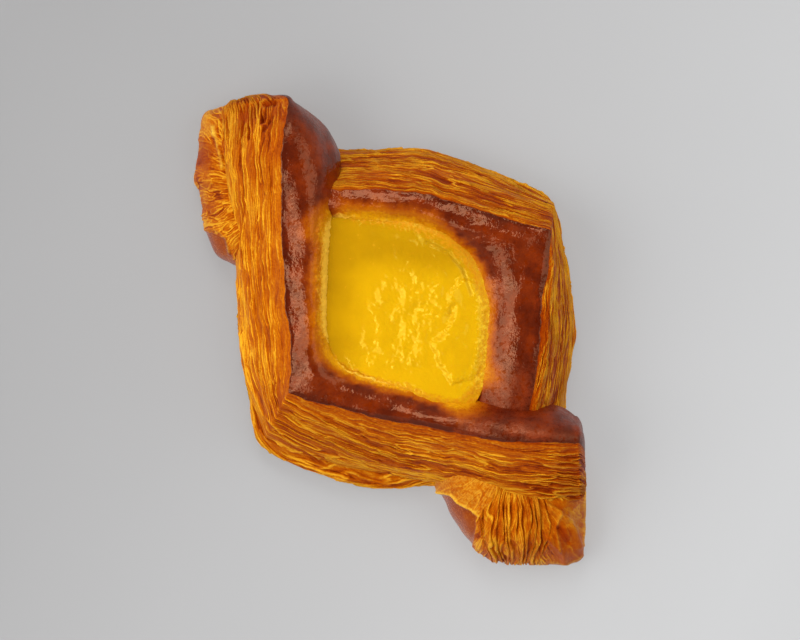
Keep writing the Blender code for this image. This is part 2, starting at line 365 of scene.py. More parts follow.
def read_marks(marks: tuple[Mark, ...], x: np.ndarray, y: np.ndarray) -> dict[str, np.ndarray]:
    """Add up what the marks do at each place.

    Args:
        marks: the marks.
        x: places across.
        y: places along.
    Returns:
        A sum for each of the marks' values.
    """
    sums = {key: np.zeros(x.shape) for key in ("height", "calm", "tone", "bake", "pale", "glaze")}
    for mark in marks:
        weight = mark.area.weight(x, y)
        for key in sums:
            sums[key] = sums[key] + weight * getattr(mark, key)
    return sums


@dataclass(frozen=True)
class Layering:
    """How the thin leaves of dough show on a cut face, in millimetres.

    Attributes:
        pitch: mean distance between the clearest edges.
        run: how far an edge keeps its way.
        edge_height: how far a leaf's edge stands out.
        gap_depth: depth of the narrow groove beside each edge.
        step: how far one leaf's face stands over the next.
        open_depth: depth of the pockets where leaves have parted.
        sway: how far the leaves wander from straight.
        width: half the width of an edge.
        seed: the number that fixes the pattern.
    """

    pitch: float = 1.7
    run: float = 15.0
    edge_height: float = 0.20
    gap_depth: float = 0.14
    step: float = 0.09
    open_depth: float = 0.6
    sway: float = 1.0
    width: float = 0.13
    seed: int = 3

    # Each family of edges: its run and its pitch as shares of the ones above, and its strength.
    FAMILIES = ((1.0, 1.0, 1.0), (0.72, 0.72, 0.80), (0.50, 0.40, 0.45), (2.2, 2.4, 1.25))

    def edges(self, family: int, along: np.ndarray, w: np.ndarray) -> tuple[np.ndarray, np.ndarray]:
        """Find one family of edges, which part and join but never cross each other.

        Args:
            family: which family.
            along: distance along the leaves.
            w: distance across the wandering leaves.
        Returns:
            The distance past the nearest edge, and the side it is on, from -1 to 1.
        """
        run, pitch, _ = self.FAMILIES[family]
        run, pitch, small = self.run * run, self.pitch * pitch, 0.04
        grain = Grain(self.seed * 17 + family)
        value = grain.read(along / run, w / pitch)
        slope = (grain.read(along / run, (w + small) / pitch) - value) / small
        away = np.abs(value) / np.hypot(slope, 0.35 / pitch)
        return np.where(value * slope > 0.0, away, -away), np.tanh(value / 0.10)

    def shape(self, along: np.ndarray, across: np.ndarray, openness: np.ndarray) -> tuple[np.ndarray, ...]:
        """Work out the leaves at points of a cut face.

        Args:
            along: distance along the leaves.
            across: distance across the leaves.
            openness: 0 where the leaves lie tight, 1 where they stand apart.
        Returns:
            The height to add, a tone from 0 in the grooves between leaves, where shade is painted, to 1
            on a leaf's edge, and the distance across the wandering leaves.
        """
        seed = self.seed * 17 + 5
        w = across + self.sway * Grain(seed).read(along / 26.0, across / 8.0)
        w = w + grain_sum(along, across, (seed + 1, 0.40, 7.0, 3.4), (seed + 2, 0.10, 2.2, 1.4))
        height = 0.30 * Grain(seed + 3).read(along / 13.0, w / 4.4)
        tone = 0.40 + grain_sum(along, w, (seed + 4, 0.20, 9.0, 1.5), (seed + 5, 0.10, 3.0, 0.8))
        nearest = np.full(along.shape, np.inf)
        for family, (_, _, strength) in enumerate(self.FAMILIES):
            past, side = self.edges(family, along, w + 3.3 * family)
            power = 0.48 + 1.15 * Grain(seed + 6 + family).read(along / 10.0, w / 2.2)
            power = strength * np.clip(power, 0.05, 1.15)
            edge = power * bell(past, 0.0, self.width)
            # Beside each edge the leaves are grooved and painted darker: painted shade in the narrow groove.
            shaded_gap = power * bell(past, 2.1 * self.width, 1.2 * self.width)
            height = height + self.edge_height * edge - self.gap_depth * shaded_gap + self.step * power * side
            tone = tone + 0.62 * edge - 0.24 * shaded_gap + 0.06 * strength * side
            if strength > 0.6:
                nearest = np.minimum(nearest, np.abs(past))
        want = 1.35 * openness - 0.85 + 0.75 * Grain(seed + 9).read(along / 6.0, across / 2.4)
        shaded_pocket = smooth_step(0.20, 0.46, nearest) * smooth_step(0.0, 0.30, want)
        # The pockets are painted darker too: painted shade where the leaves have parted.
        return height - self.open_depth * shaded_pocket, np.clip(tone - 0.34 * shaded_pocket, 0.0, 1.0), w


@dataclass(frozen=True)
class Petals:
    """Leaves that stand on edge and spread like a fan.

    Attributes:
        first: heading of the first leaf from the fan's middle, in degrees.
        last: heading of the last leaf.
        count: how many leaves there are.
        begin: how far from the middle they start.
        depth: how deep the gaps between them are.
        hook: how strongly the outer leaves bend back towards the middle one.
    """

    first: float
    last: float
    count: int
    begin: float
    depth: float
    hook: float = 0.3

    def shape(self, heading: np.ndarray, reach: np.ndarray) -> tuple[np.ndarray, np.ndarray, np.ndarray]:
        """Work out the leaves.

        Args:
            heading: heading of each point from the fan's middle, in degrees.
            reach: its distance along the surface from there.
        Returns:
            The height to add, the tone, and how much of the surface is leaves, 0 to 1.
        """
        t = (heading - self.first) / (self.last - self.first)
        bend = self.hook * smooth_step(0.0, 24.0, reach - self.begin)
        t = (t - 0.5 * bend) / (1.0 - bend)
        p = t * self.count + 0.85 * Grain(61).read(reach / 14.0, t * self.count / 2.1)
        p = p + 0.34 * Grain(67).read(reach / 5.5, t * self.count / 1.3)
        p = p + 0.12 * Grain(62).read(reach / 2.2, t * self.count / 0.8)
        leaf = np.floor(p)
        f = p - leaf
        parted = np.clip(0.55 + 1.0 * Grain(65).read(leaf * 1.7 + 0.5, reach / 6.0), 0.10, 1.0)
        open_side = 1.0 - parted * (1.0 - smooth_step(0.0, 0.42, f))
        far_side = 1.0 - parted * smooth_step(0.90, 1.0, f)
        own = 0.5 * Grain(63).read(leaf * 2.3 + 0.5, reach / 11.0)
        profile = (0.40 + 0.60 * f + own) * open_side * far_side
        edge = bell(f, 0.86, 0.07) * np.clip(0.6 + Grain(66).read(leaf * 1.3 + 0.5, reach / 5.0), 0.1, 1.0)
        second = bell(Grain(64).read(reach / 9.0, p / 0.55), 0.0, 0.12) * open_side
        height = self.depth * (profile - 0.45) + 0.16 * second
        # Where leaves part, the slits between them are painted darker: painted shade.
        tone = 0.47 + 0.48 * edge + 0.26 * second - 0.26 * (1.0 - open_side * far_side) + 0.45 * own
        weight = smooth_step(self.begin - 1.5, self.begin + 2.5, reach)
        weight = weight * smooth_step(-0.02, 0.05, t) * smooth_step(1.02, 0.95, t)
        return height, np.clip(tone, 0.0, 1.0), weight


class Skin:
    """A dense grid laid over a computed surface.

    Attributes:
        points: rows by columns of x, y, z in millimetres.
        fields: named values for each point, kept as mesh attributes.
    """

    def __init__(self, points: np.ndarray, fields: dict[str, np.ndarray] | None = None) -> None:
        """Keep the surface's points and values."""
        self.points = points
        shape = points.shape[:2]
        self.fields = {key: np.broadcast_to(value, shape) for key, value in (fields or {}).items()}

    def normals(self) -> np.ndarray:
        """Return unit normals by central differences, with the columns joined in a ring."""
        p = self.points
        slope = np.roll(p, -1, axis=1) - np.roll(p, 1, axis=1)
        normal = np.cross(np.gradient(p, axis=0), slope)
        return normal / np.maximum(np.linalg.norm(normal, axis=2, keepdims=True), 1e-9)

    def make(
        self, name: str, finishes: list[bpy.types.Material], pick: np.ndarray | None = None,
    ) -> bpy.types.Object:
        """Turn the grid into a closed mesh object; its last column is joined to its first.

        Args:
            name: the piece's name.
            finishes: the materials, in order.
            pick: the material number of each grid row, or None for the first.
        Returns:
            The linked object.
        """
        edge = 2e-5
        points = np.clip(self.points * MM, np.array(CAD_LOW) + edge, np.array(CAD_HIGH) - edge)
        points = np.concatenate([points, points[:, :1]], axis=1)
        rows, columns = points.shape[:2]
        bm = bmesh.new()
        bmesh.ops.create_grid(bm, x_segments=columns - 1, y_segments=rows - 1, size=1.0)
        for vert, place in zip(bm.verts, points.reshape(-1, 3)):
            vert.co = place
        for key, values in self.fields.items():
            layer = bm.verts.layers.float.new(key)
            joined = np.concatenate([values, values[:, :1]], axis=1)
            for vert, value in zip(bm.verts, joined.reshape(-1)):
                vert[layer] = float(value)
        if pick is not None:
            for face, number in zip(bm.faces, np.repeat(pick[:rows - 1], columns - 1)):
                face.material_index = int(number)
        bmesh.ops.remove_doubles(bm, verts=bm.verts, dist=1e-7)
        edges = [edge for edge in bm.edges if edge.is_boundary]
        if edges:
            bmesh.ops.holes_fill(bm, edges=edges, sides=0)
        return link_mesh(name, bm, finishes)


def link_mesh(name: str, bm: bmesh.types.BMesh, finishes: list[bpy.types.Material]) -> bpy.types.Object:
    """Turn a finished bmesh into a smooth linked object with outward normals.

    Args:
        name: the object's name.
        bm: the bmesh, which is freed.
        finishes: the materials, in order.
    Returns:
        The object.
    """
    bmesh.ops.recalc_face_normals(bm, faces=bm.faces)
    for face in bm.faces:
        face.smooth = True
    mesh = bpy.data.meshes.new(name)
    bm.to_mesh(mesh)
    bm.free()
    for finish in finishes:
        mesh.materials.append(finish)
    piece = bpy.data.objects.new(name, mesh)
    bpy.context.scene.collection.objects.link(piece)
    return piece


# ---- finishes -----------------------------------------------------------------------------
def fill_ramp(node: bpy.types.ShaderNodeValToRGB, stops: list[tuple[float, Colour]]) -> None:
    """Give a colour ramp its stops.

    Args:
        node: the ramp's node.
        stops: each stop's place on the ramp and its colour.
    """
    elements = node.color_ramp.elements
    while len(elements) < len(stops):
        elements.new(0.5)
    for element, (position, colour) in zip(elements, stops):
        element.position = position
        element.color = (*colour, 1.0)


class NodeSheet:
    """A material's node tree with short ways to add what the finishes need."""

    def __init__(self, name: str) -> None:
        """Start a material with its Principled shader."""
        self.material = bpy.data.materials.new(name)
        self.material.use_nodes = True
        self.tree = self.material.node_tree
        self.shader = self.tree.nodes["Principled BSDF"]
        self.place = self.tree.nodes.new("ShaderNodeTexCoord").outputs["Object"]

    def link(self, source: Socket, target: str) -> None:
        """Join a socket to one of the shader's inputs."""
        self.tree.links.new(source, self.shader.inputs[target])

    def feed(self, value: Socket | Colour | float, socket: Socket) -> None:
        """Give a node's input a constant or a link.

        Args:
            value: a colour, a number, or the socket to link from.
            socket: the input.
        """
        if isinstance(value, tuple):
            socket.default_value = (*value, 1.0)
        elif isinstance(value, (int, float)):
            socket.default_value = value
        else:
            self.tree.links.new(value, socket)

    def noise(
        self, cells: float, detail: float = 3.0, roughness: float = 0.55, place: Socket | None = None,
    ) -> Socket:
        """Return a noise pattern.

        Args:
            cells: cells to a millimetre.
            detail: how many finer octaves it has.
            roughness: how strong those are.
            place: where to read it, in metres, or None for the object's own coordinates.
        Returns:
            The pattern's value socket.
        """
        node = self.tree.nodes.new("ShaderNodeTexNoise")
        self.tree.links.new(place or self.place, node.inputs["Vector"])
        node.inputs["Scale"].default_value = cells / MM
        node.inputs["Detail"].default_value = detail
        node.inputs["Roughness"].default_value = roughness
        return node.outputs["Fac"]

    def grain_place(self, stretch: float) -> Socket:
        """Return coordinates that follow the leaves.

        Args:
            stretch: how far they are drawn out along the leaves.
        Returns:
            The coordinates' socket, in metres.
        """
        node = self.tree.nodes.new("ShaderNodeCombineXYZ")
        self.feed(self.math("MULTIPLY", self.attribute("along"), MM / stretch), node.inputs["X"])
        self.feed(self.math("MULTIPLY", self.attribute("across"), MM), node.inputs["Y"])
        return node.outputs["Vector"]

    def attribute(self, name: str) -> Socket:
        """Return a named value stored on the mesh."""
        node = self.tree.nodes.new("ShaderNodeAttribute")
        node.attribute_name = name
        return node.outputs["Fac"]

    def crests(self, value: Socket, sharpness: float) -> Socket:
        """Return thin lines, 1 where the value crosses its middle and 0 away from there."""
        away = self.math("ABSOLUTE", self.math("SUBTRACT", value, 0.5), 0.0)
        return self.math("SUBTRACT", 1.0, self.math("MULTIPLY", away, sharpness), True)

    def ramp(self, factor: Socket, stops: list[tuple[float, Colour]]) -> Socket:
        """Read a colour from a ramp.

        Args:
            factor: where on the ramp.
            stops: each stop's place and colour.
        Returns:
            The colour's socket.
        """
        node = self.tree.nodes.new("ShaderNodeValToRGB")
        fill_ramp(node, stops)
        self.feed(factor, node.inputs["Fac"])
        return node.outputs["Color"]

    def math(self, kind: str, a: Socket | float, b: Socket | float, clamp: bool = False) -> Socket:
        """Add a Math node.

        Args:
            kind: what it does.
            a: its first value.
            b: its second value.
            clamp: whether the result is kept from 0 to 1.
        Returns:
            The result's socket.
        """
        node = self.tree.nodes.new("ShaderNodeMath")
        node.operation = kind
        node.use_clamp = clamp
        self.feed(a, node.inputs[0])
        self.feed(b, node.inputs[1])
        return node.outputs["Value"]

    def remap(
        self, value: Socket, low: float, high: float, to_low: float = 0.0, to_high: float = 1.0,
    ) -> Socket:
        """Stretch a value from one range to another.

        Args:
            value: the value.
            low: start of its own range.
            high: end of its own range.
            to_low: what low becomes.
            to_high: what high becomes.
        Returns:
            The stretched value, clamped.
        """
        node = self.tree.nodes.new("ShaderNodeMapRange")
        limits = {"From Min": low, "From Max": high, "To Min": to_low, "To Max": to_high}
        for key, number in limits.items():
            node.inputs[key].default_value = number
        self.feed(value, node.inputs["Value"])
        return node.outputs["Result"]

    def jitter(self, value: Socket, pattern: Socket, amount: float, spread: float = 0.2) -> Socket:
        """Return a value moved either way by a pattern.

        Args:
            value: what is moved.
            pattern: the pattern, about 0.5 in its middle.
            amount: the farthest that the value moves.
            spread: how far from its middle the pattern has its full effect.
        Returns:
            The moved value.
        """
        return self.math("ADD", value, self.remap(pattern, 0.5 - spread, 0.5 + spread, -amount, amount))

    def mix(self, factor: Socket | float, a: Socket | Colour, b: Socket | Colour) -> Socket:
        """Blend two colours.

        Args:
            factor: the second one's share.
            a: the first colour.
            b: the second colour.
        Returns:
            The blend's socket.
        """
        node = self.tree.nodes.new("ShaderNodeMix")
        node.data_type = "RGBA"
        self.feed(factor, node.inputs[0])
        self.feed(a, node.inputs[6])
        self.feed(b, node.inputs[7])
        return node.outputs[2]

    def bump(
        self, height: Socket, distance: float, strength: Socket | float, below: Socket | None = None,
    ) -> Socket:
        """Bump the surface.

        Args:
            height: the pattern.
            distance: its full height, in millimetres.
            strength: how far it shows, 0 to 1.
            below: the bump it is laid over, or None.
        Returns:
            The bumped normal's socket.
        """
        node = self.tree.nodes.new("ShaderNodeBump")
        node.inputs["Distance"].default_value = distance * MM
        self.feed(strength, node.inputs["Strength"])
        self.feed(height, node.inputs["Height"])
        if below is not None:
            self.feed(below, node.inputs["Normal"])
        return node.outputs["Normal"]

    def set(self, **values: float | tuple) -> None:
        """Set the shader's own sockets; an underscore stands for a space."""
        for key, value in values.items():
            self.shader.inputs[key.replace("_", " ")].default_value = value


@dataclass(frozen=True)
class CrustFinish:
    """Baked dough: golden leaves where it is cut, dark glossy egg wash where it is glazed.

    Attributes:
        shaded_gap: colour deep between leaves, which paints the shade there.
        leaf: colour of the face between edges.
        flesh: colour of the leaves' lighter parts.
        edge: colour of a leaf's thin dry edge.
        toast_and_shade: tint where a cut face has baked hardest, and where a face is painted in shade.
        pale: colour of soft dough that has hardly browned.
        dark: colour of the hardest baked glaze.
        brown: colour of the rest of the glaze.
        russet: colour between the brown and the amber.
        amber: colour where the glaze thins towards the custard.
        honey: colour between the amber and the gold.
        gold: colour of the glaze next to the custard.
        sheen: tint of the reflections on the glaze.
        dull: tint of the reflections on the cut faces.
    """

    shaded_gap: Colour = (0.17, 0.016, 0.0005)
    leaf: Colour = (0.43, 0.075, 0.0008)
    flesh: Colour = (0.58, 0.145, 0.001)
    edge: Colour = (0.93, 0.44, 0.018)
    toast_and_shade: Colour = (0.27, 0.024, 0.0006)
    pale: Colour = (0.95, 0.58, 0.055)
    dark: Colour = (0.078, 0.005, 0.0003)
    brown: Colour = (0.216, 0.0195, 0.0006)
    russet: Colour = (0.238, 0.027, 0.0007)
    amber: Colour = (0.36, 0.060, 0.0008)
    honey: Colour = (0.50, 0.135, 0.001)
    gold: Colour = (0.77, 0.350, 0.002)
    sheen: Colour = (1.0, 0.51, 0.28)
    dull: Colour = (0.30, 0.09, 0.004)

    def cut_colour(self, sheet: NodeSheet, lines: Socket, grit: Socket) -> Socket:
        """Work out the colour of the cut faces.

        Args:
            sheet: the material's nodes.
            lines: the fine lines along the leaves.
            grit: the fine pattern between them.
        Returns:
            The colour's socket.
        """
        cloud = sheet.noise(0.15, 3.0, 0.55)
        tone = sheet.math("ADD", sheet.attribute("layer"), sheet.math("MULTIPLY", lines, 0.16))
        tone = sheet.jitter(sheet.jitter(tone, grit, 0.09), cloud, 0.08, 0.15)
        stops = [(0.05, self.shaded_gap), (0.34, self.leaf), (0.56, self.flesh), (0.95, self.edge)]
        colour = sheet.ramp(tone, stops)
        patchy = sheet.remap(cloud, 0.36, 0.62, 0.5, 1.3)
        # Harder baked faces, and faces painted in shade, turn towards the toasted tint.
        baked_and_shaded = sheet.math("MULTIPLY", sheet.attribute("bake"), patchy, True)
        return sheet.mix(sheet.math("MULTIPLY", baked_and_shaded, 0.78), colour, self.toast_and_shade)

    def leaf_lines(self, sheet: NodeSheet) -> Socket:
        """Draw fine lines along the leaves, which part and join.

        Args:
            sheet: the material's nodes.
        Returns:
            Light lines (+) and dark ones (-), as a socket.
        """
        place = sheet.grain_place(9.0)
        light = sheet.crests(sheet.noise(0.85, 2.0, 0.5, place), 13.0)
        dark = sheet.crests(sheet.noise(1.35, 2.0, 0.5, place), 11.0)
        fine = sheet.crests(sheet.noise(2.3, 1.0, 0.5, place), 7.0)
        both = sheet.math("SUBTRACT", light, sheet.math("MULTIPLY", dark, 0.7))
        both = sheet.math("ADD", both, sheet.math("MULTIPLY", fine, 0.45))
        return sheet.math("MULTIPLY", both, sheet.attribute("lines"))

    def glaze_colour(self, sheet: NodeSheet, fleck: Socket) -> Socket:
        """Work out the colour of the glazed crown.

        Args:
            sheet: the material's nodes.
            fleck: the fine pattern of the bake.
        Returns:
            The colour's socket.
        """
        cloud = sheet.noise(0.20, 4.0, 0.6)
        tan = sheet.attribute("tan")
        turn = sheet.jitter(sheet.jitter(tan, cloud, 0.07), fleck, 0.07)
        colour = sheet.ramp(turn, [
            (0.0, self.dark), (0.17, self.brown), (0.34, self.russet), (0.52, self.amber),
            (0.74, self.honey), (0.96, self.gold),
        ])
        still = sheet.remap(tan, 0.30, 0.60, 1.0, 0.0)
        shade = sheet.math("MULTIPLY", sheet.remap(cloud, 0.36, 0.66, 0.85, 0.10), still)
        return sheet.mix(shade, colour, self.dark)

    def build(self) -> bpy.types.Material:
        """Make the material."""
        sheet = NodeSheet("baked_crust")
        lines = self.leaf_lines(sheet)
        fleck = sheet.noise(1.3, 4.0, 0.6)
        pit = sheet.noise(2.6, 1.0, 0.5)
        grit = sheet.noise(1.9, 3.0, 0.6)
        glazed = sheet.remap(sheet.jitter(sheet.attribute("glaze"), fleck, 0.22), 0.42, 0.58)
        soft = sheet.remap(sheet.jitter(sheet.attribute("pale"), fleck, 0.16), 0.20, 0.90)
        colour = sheet.mix(glazed, self.cut_colour(sheet, lines, grit), self.glaze_colour(sheet, fleck))
        sheet.link(sheet.mix(soft, colour, self.pale), "Base Color")
        glossy = sheet.math("MULTIPLY", glazed, sheet.remap(soft, 0.0, 1.0, 1.0, 0.25))
        matt = sheet.math("MULTIPLY", sheet.attribute("dry"), sheet.remap(fleck, 0.35, 0.65, 0.20, 0.45))
        rough = sheet.remap(glossy, 0.0, 1.0, 0.55, 0.07)
        rough = sheet.math("ADD", rough, sheet.remap(pit, 0.5, 0.8, 0.0, 0.06))
        sheet.link(sheet.math("ADD", rough, sheet.math("MULTIPLY", matt, glossy)), "Roughness")
        sheet.set(Specular_IOR_Level=0.6)
        thin = sheet.remap(sheet.attribute("tan"), 0.42, 0.70, 1.0, 0.30)
        broken = sheet.remap(sheet.noise(0.9, 3.0, 0.55), 0.38, 0.43, 0.22, 1.0)
        shine = sheet.math("MULTIPLY", glossy, sheet.math("MULTIPLY", thin, broken))
        sheet.link(sheet.mix(shine, self.dull, self.sheen), "Specular Tint")
        normal = sheet.bump(lines, 0.08, sheet.remap(glazed, 0.0, 1.0, 0.8, 0.0))
        normal = sheet.bump(grit, 0.10, sheet.remap(glossy, 0.0, 1.0, 0.6, 0.0), normal)
        normal = sheet.bump(sheet.noise(1.5, 1.0, 0.5), 0.07, glossy, normal)
        sheet.link(sheet.bump(pit, 0.024, glossy, normal), "Normal")
        return sheet.material


@dataclass(frozen=True)
class CustardFinish:
    """Baked custard: wet, smooth and clear yellow, with orange or torn pale parts at its rim.

    Attributes:
        middle: colour of the open surface.
        shade: colour of the painted shade, where the crust's walls and the skin's crease shade the custard.
        toasted: colour where it has caught beside the crust.
        torn: colour of its dry torn edge.
        sheen: tint of the reflections.
    """

    middle: Colour = (0.75, 0.40, 0.0015)
    shade: Colour = (0.53, 0.265, 0.001)
    toasted: Colour = (0.66, 0.25, 0.002)
    torn: Colour = (0.86, 0.52, 0.02)
    sheen: Colour = (1.0, 0.90, 0.13)

    def build(self) -> bpy.types.Material:
        """Make the material."""
        sheet = NodeSheet("baked_custard")
        cloud = sheet.noise(0.16, 3.0, 0.5)
        curd = sheet.noise(0.9, 4.0, 0.6)
        # The dull value paints shade: it darkens the custard towards the shade colour.
        dull = sheet.jitter(sheet.attribute("dull"), cloud, 0.16, 0.16)
        colour = sheet.mix(sheet.remap(dull, 0.0, 1.0), self.middle, self.shade)
        caught = sheet.remap(sheet.jitter(sheet.attribute("caught"), curd, 0.42), 0.25, 0.95)
        colour = sheet.mix(caught, colour, self.toasted)
        torn = sheet.remap(sheet.jitter(sheet.attribute("torn"), curd, 0.42), 0.35, 0.65)
        colour = sheet.mix(torn, colour, self.torn)
        sheet.link(colour, "Base Color")
        dry = sheet.math("MAXIMUM", torn, caught)
        sheet.link(sheet.remap(dry, 0.0, 1.0, 0.09, 0.40), "Roughness")
        sheet.set(
            Specular_IOR_Level=0.6, Specular_Tint=(*self.sheen, 1.0), Subsurface_Weight=0.12,
            Subsurface_Scale=0.0015, Subsurface_Radius=(1.0, 0.55, 0.05),
        )
        ripple = sheet.bump(sheet.noise(0.50, 1.5, 0.5), 0.36, sheet.attribute("lively"))
        sheet.link(sheet.bump(curd, 0.12, sheet.remap(dry, 0.0, 1.0, 0.06, 0.9), ripple), "Normal")
        return sheet.material


@dataclass(frozen=True)
class UndersideFinish:
    """Baked underside: dry, evenly browned and faintly mottled.

    Attributes:
        light: colour of its lighter parts.
        dark: colour of its darker parts.
    """

    light: Colour = (0.56, 0.22, 0.03)
    dark: Colour = (0.30, 0.080, 0.008)

    def build(self) -> bpy.types.Material:
        """Make the material."""
        sheet = NodeSheet("baked_underside")
        mottle = sheet.noise(0.12, 5.0, 0.6)
        grain = sheet.noise(1.8, 3.0, 0.6)
        sheet.link(sheet.mix(sheet.remap(mottle, 0.36, 0.64), self.light, self.dark), "Base Color")
        sheet.set(Roughness=0.7, Specular_IOR_Level=0.2)
        sheet.link(sheet.bump(grain, 0.12, 0.5), "Normal")
        return sheet.material


@dataclass
class Finishes:
    """Every finish of the pastry, made once."""

    crust: bpy.types.Material = field(default_factory=lambda: CrustFinish().build())
    custard: bpy.types.Material = field(default_factory=lambda: CustardFinish().build())
    underside: bpy.types.Material = field(default_factory=lambda: UndersideFinish().build())


def dress(piece: bpy.types.Object, node: str) -> None:
    """Fix a finished piece to the frame.

    Args:
        piece: the piece.
        node: the solid that it replaces.
    """
    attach(piece, "root")
    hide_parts(node)
    corners = sum(len(face.vertices) - 2 for face in piece.data.polygons)
    LOG.info("%s: %d vertices, %d triangles", piece.name, len(piece.data.vertices), corners)


# ---- the dough ------------------------------------------------------------------------------
@dataclass
class DoughRoll:
    """A length of folded dough: a cut face outside, a glazed crown over the top.

    Attributes:
        name: the piece's name.
        stations: the sections it is drawn through.
        corner: the station with the mitre.
        layering: how its cut face looks.
        granular: width of the close-grained band below the crease.
        bakes_and_shades: places along the roll, as shares, and how hard its face is baked there; the values
            also paint shade, darker on the faces turned away from the left.
        loose: how far the leaves stand apart at each end.
        slants: places along the roll, as shares, and how far the leaves have run down the face there.
        overs: places along the roll, as shares, and how far the glaze has run over the crease there.
        crowns: places along the roll, as shares, and there the crown's swelling as a share of its
            width, how far that leans to the custard, and how late the crown turns down.
        crisp: places along the roll, as shares, and there how clearly the leaves are drawn and how
            much lighter they are.
        marks: what single spots have of their own.
        ring_step: distance between rings along the roll.
        face_points: points on the cut face.
        crown_points: points on the crown.
        end_depths: how far each rounded end reaches past its last station.
    """

    name: str
    stations: tuple
    corner: int
    layering: Layering
    granular: float
    bakes_and_shades: tuple[Place, ...]
    loose: tuple[float, float] = (0.8, 0.8)
    slants: tuple[Place, ...] = ((0.0, 0.0), (1.0, 0.0))
    overs: tuple[Place, ...] = ((0.0, 0.0), (1.0, 0.0))
    crowns: tuple[tuple[float, float, float, float], ...] = ((0.0, 0.17, 1.0, 3.0), (1.0, 0.17, 1.0, 3.0))
    crisp: tuple[tuple[float, float, float], ...] = ((0.0, 1.0, 0.0), (1.0, 1.0, 0.0))
    marks: tuple[Mark, ...] = ()
    ring_step: float = 0.40
    face_points: int = 190
    crown_points: int = 84
    end_depths: tuple[float, float] = (1.6, 2.0)

    END_RINGS = 14
    END_RUN = 7.0
    FLANK_POINTS = 8
    ROUNDING = 60
    RIM_CORNERS = 72
    LOOSE_RUN = 15.0

    def read_along(self, table: tuple, share: np.ndarray) -> list[np.ndarray]:
        """Return a table's values at shares of the roll's length, each as a column."""
        rows = np.array(table, float)
        return [np.interp(share, rows[:, 0], values)[:, None] for values in rows[:, 1:].T]

    def rows(self) -> tuple[np.ndarray, np.ndarray]:
        """Return evenly spaced sections' rows, and the distance of each along the roll."""
        table = np.array(self.stations, float)
        last = len(table) - 1
        t = np.linspace(0.0, last, last * 40 + 1)
        fine = catmull(table, t)
        before, after = t <= self.corner, t > self.corner
        fine[before, :4] = catmull(table[:self.corner + 1], t[before])[:, :4]
        fine[after, :4] = catmull(table[self.corner:], t[after] - self.corner)[:, :4]
        middle = 0.5 * fine[:, 0:2] + 0.25 * fine[:, 2:4] + 0.25 * fine[:, 4:6]
        run = np.concatenate([[0.0], np.cumsum(np.linalg.norm(np.diff(middle, axis=0), axis=1))])
        at = np.linspace(0.0, run[-1], int(run[-1] / self.ring_step) + 2)
        rows = np.column_stack([np.interp(at, run, fine[:, k]) for k in range(fine.shape[1])])
        way = rows[:, 4:6] - rows[:, 2:4]
        way = way / np.linalg.norm(way, axis=1)[:, None]
        seed = self.layering.seed
        wave = grain_sum(at, at * 0.0 + 0.5, (seed + 68, 0.42, 8.0, 1.0), (seed + 69, 0.14, 2.3, 1.0))
        rows[:, 0:2] += way * wave[:, None]
        return rows, at

    def sections(self, rows: np.ndarray, share: np.ndarray) -> np.ndarray:
        """Work out the closed section of each row.

        Args:
            rows: the rows.
            share: how far along the roll each is, 0 to 1.
        Returns:
            The sections as rings of points.
        """
        crease, outer, inner = rows[:, None, 0:2], rows[:, None, 2:4], rows[:, None, 4:6]
        high, low, foot, splay = (rows[:, k:k + 1] for k in range(6, 10))
        swelling, lean, turn = self.read_along(self.crowns, share)
        rise = np.minimum(CROWN_RISE, swelling * np.linalg.norm(inner - crease, axis=2))

        def part(start: np.ndarray, way: np.ndarray, reach: np.ndarray, level: np.ndarray) -> np.ndarray:
            """Return points a reach along the way from the start, at the given levels."""
            flat = start + way * reach[..., None]
            return np.concatenate([flat, np.broadcast_to(level, flat.shape[:2])[..., None]], axis=2)

        t = np.linspace(0.0, 1.0, self.face_points, endpoint=False)[None]
        tuck = 0.05 * (1.0 - np.minimum(t / 0.10, 1.0)) ** 2
        face = part(crease, outer - crease, 1.0 - t ** FACE_BULGE - tuck, foot + (high - foot) * t)
        u = np.linspace(0.0, 1.0, self.crown_points)[None]
        swell = high - (high - low) * u ** turn + rise * np.sin(math.pi * u ** lean)
        crown = part(crease, inner - crease, u, swell)
        f = np.linspace(0.0, 1.0, self.FLANK_POINTS + 1)[None, 1:]
        flank = part(inner, inner - crease, splay * f ** 0.8, low + (STRIP_ROOT - low) * f)
        root = part(crease, outer - crease, np.array([[0.35, 0.72]]), np.full((1, 2), STRIP_ROOT))
        for _ in range(self.ROUNDING):
            eased = 0.25 * crown[:-2] + 0.5 * crown[1:-1] + 0.25 * crown[2:]
            crown[1:-1] += smooth_step(0.0, 0.35, u)[..., None] * (eased - crown[1:-1])
        flank[:, :, :2] += (crown[:, -1:] - part(crease, inner - crease, np.ones((1, 1)), low))[:, :, :2]
        return np.concatenate([face, crown, flank, root], axis=1)

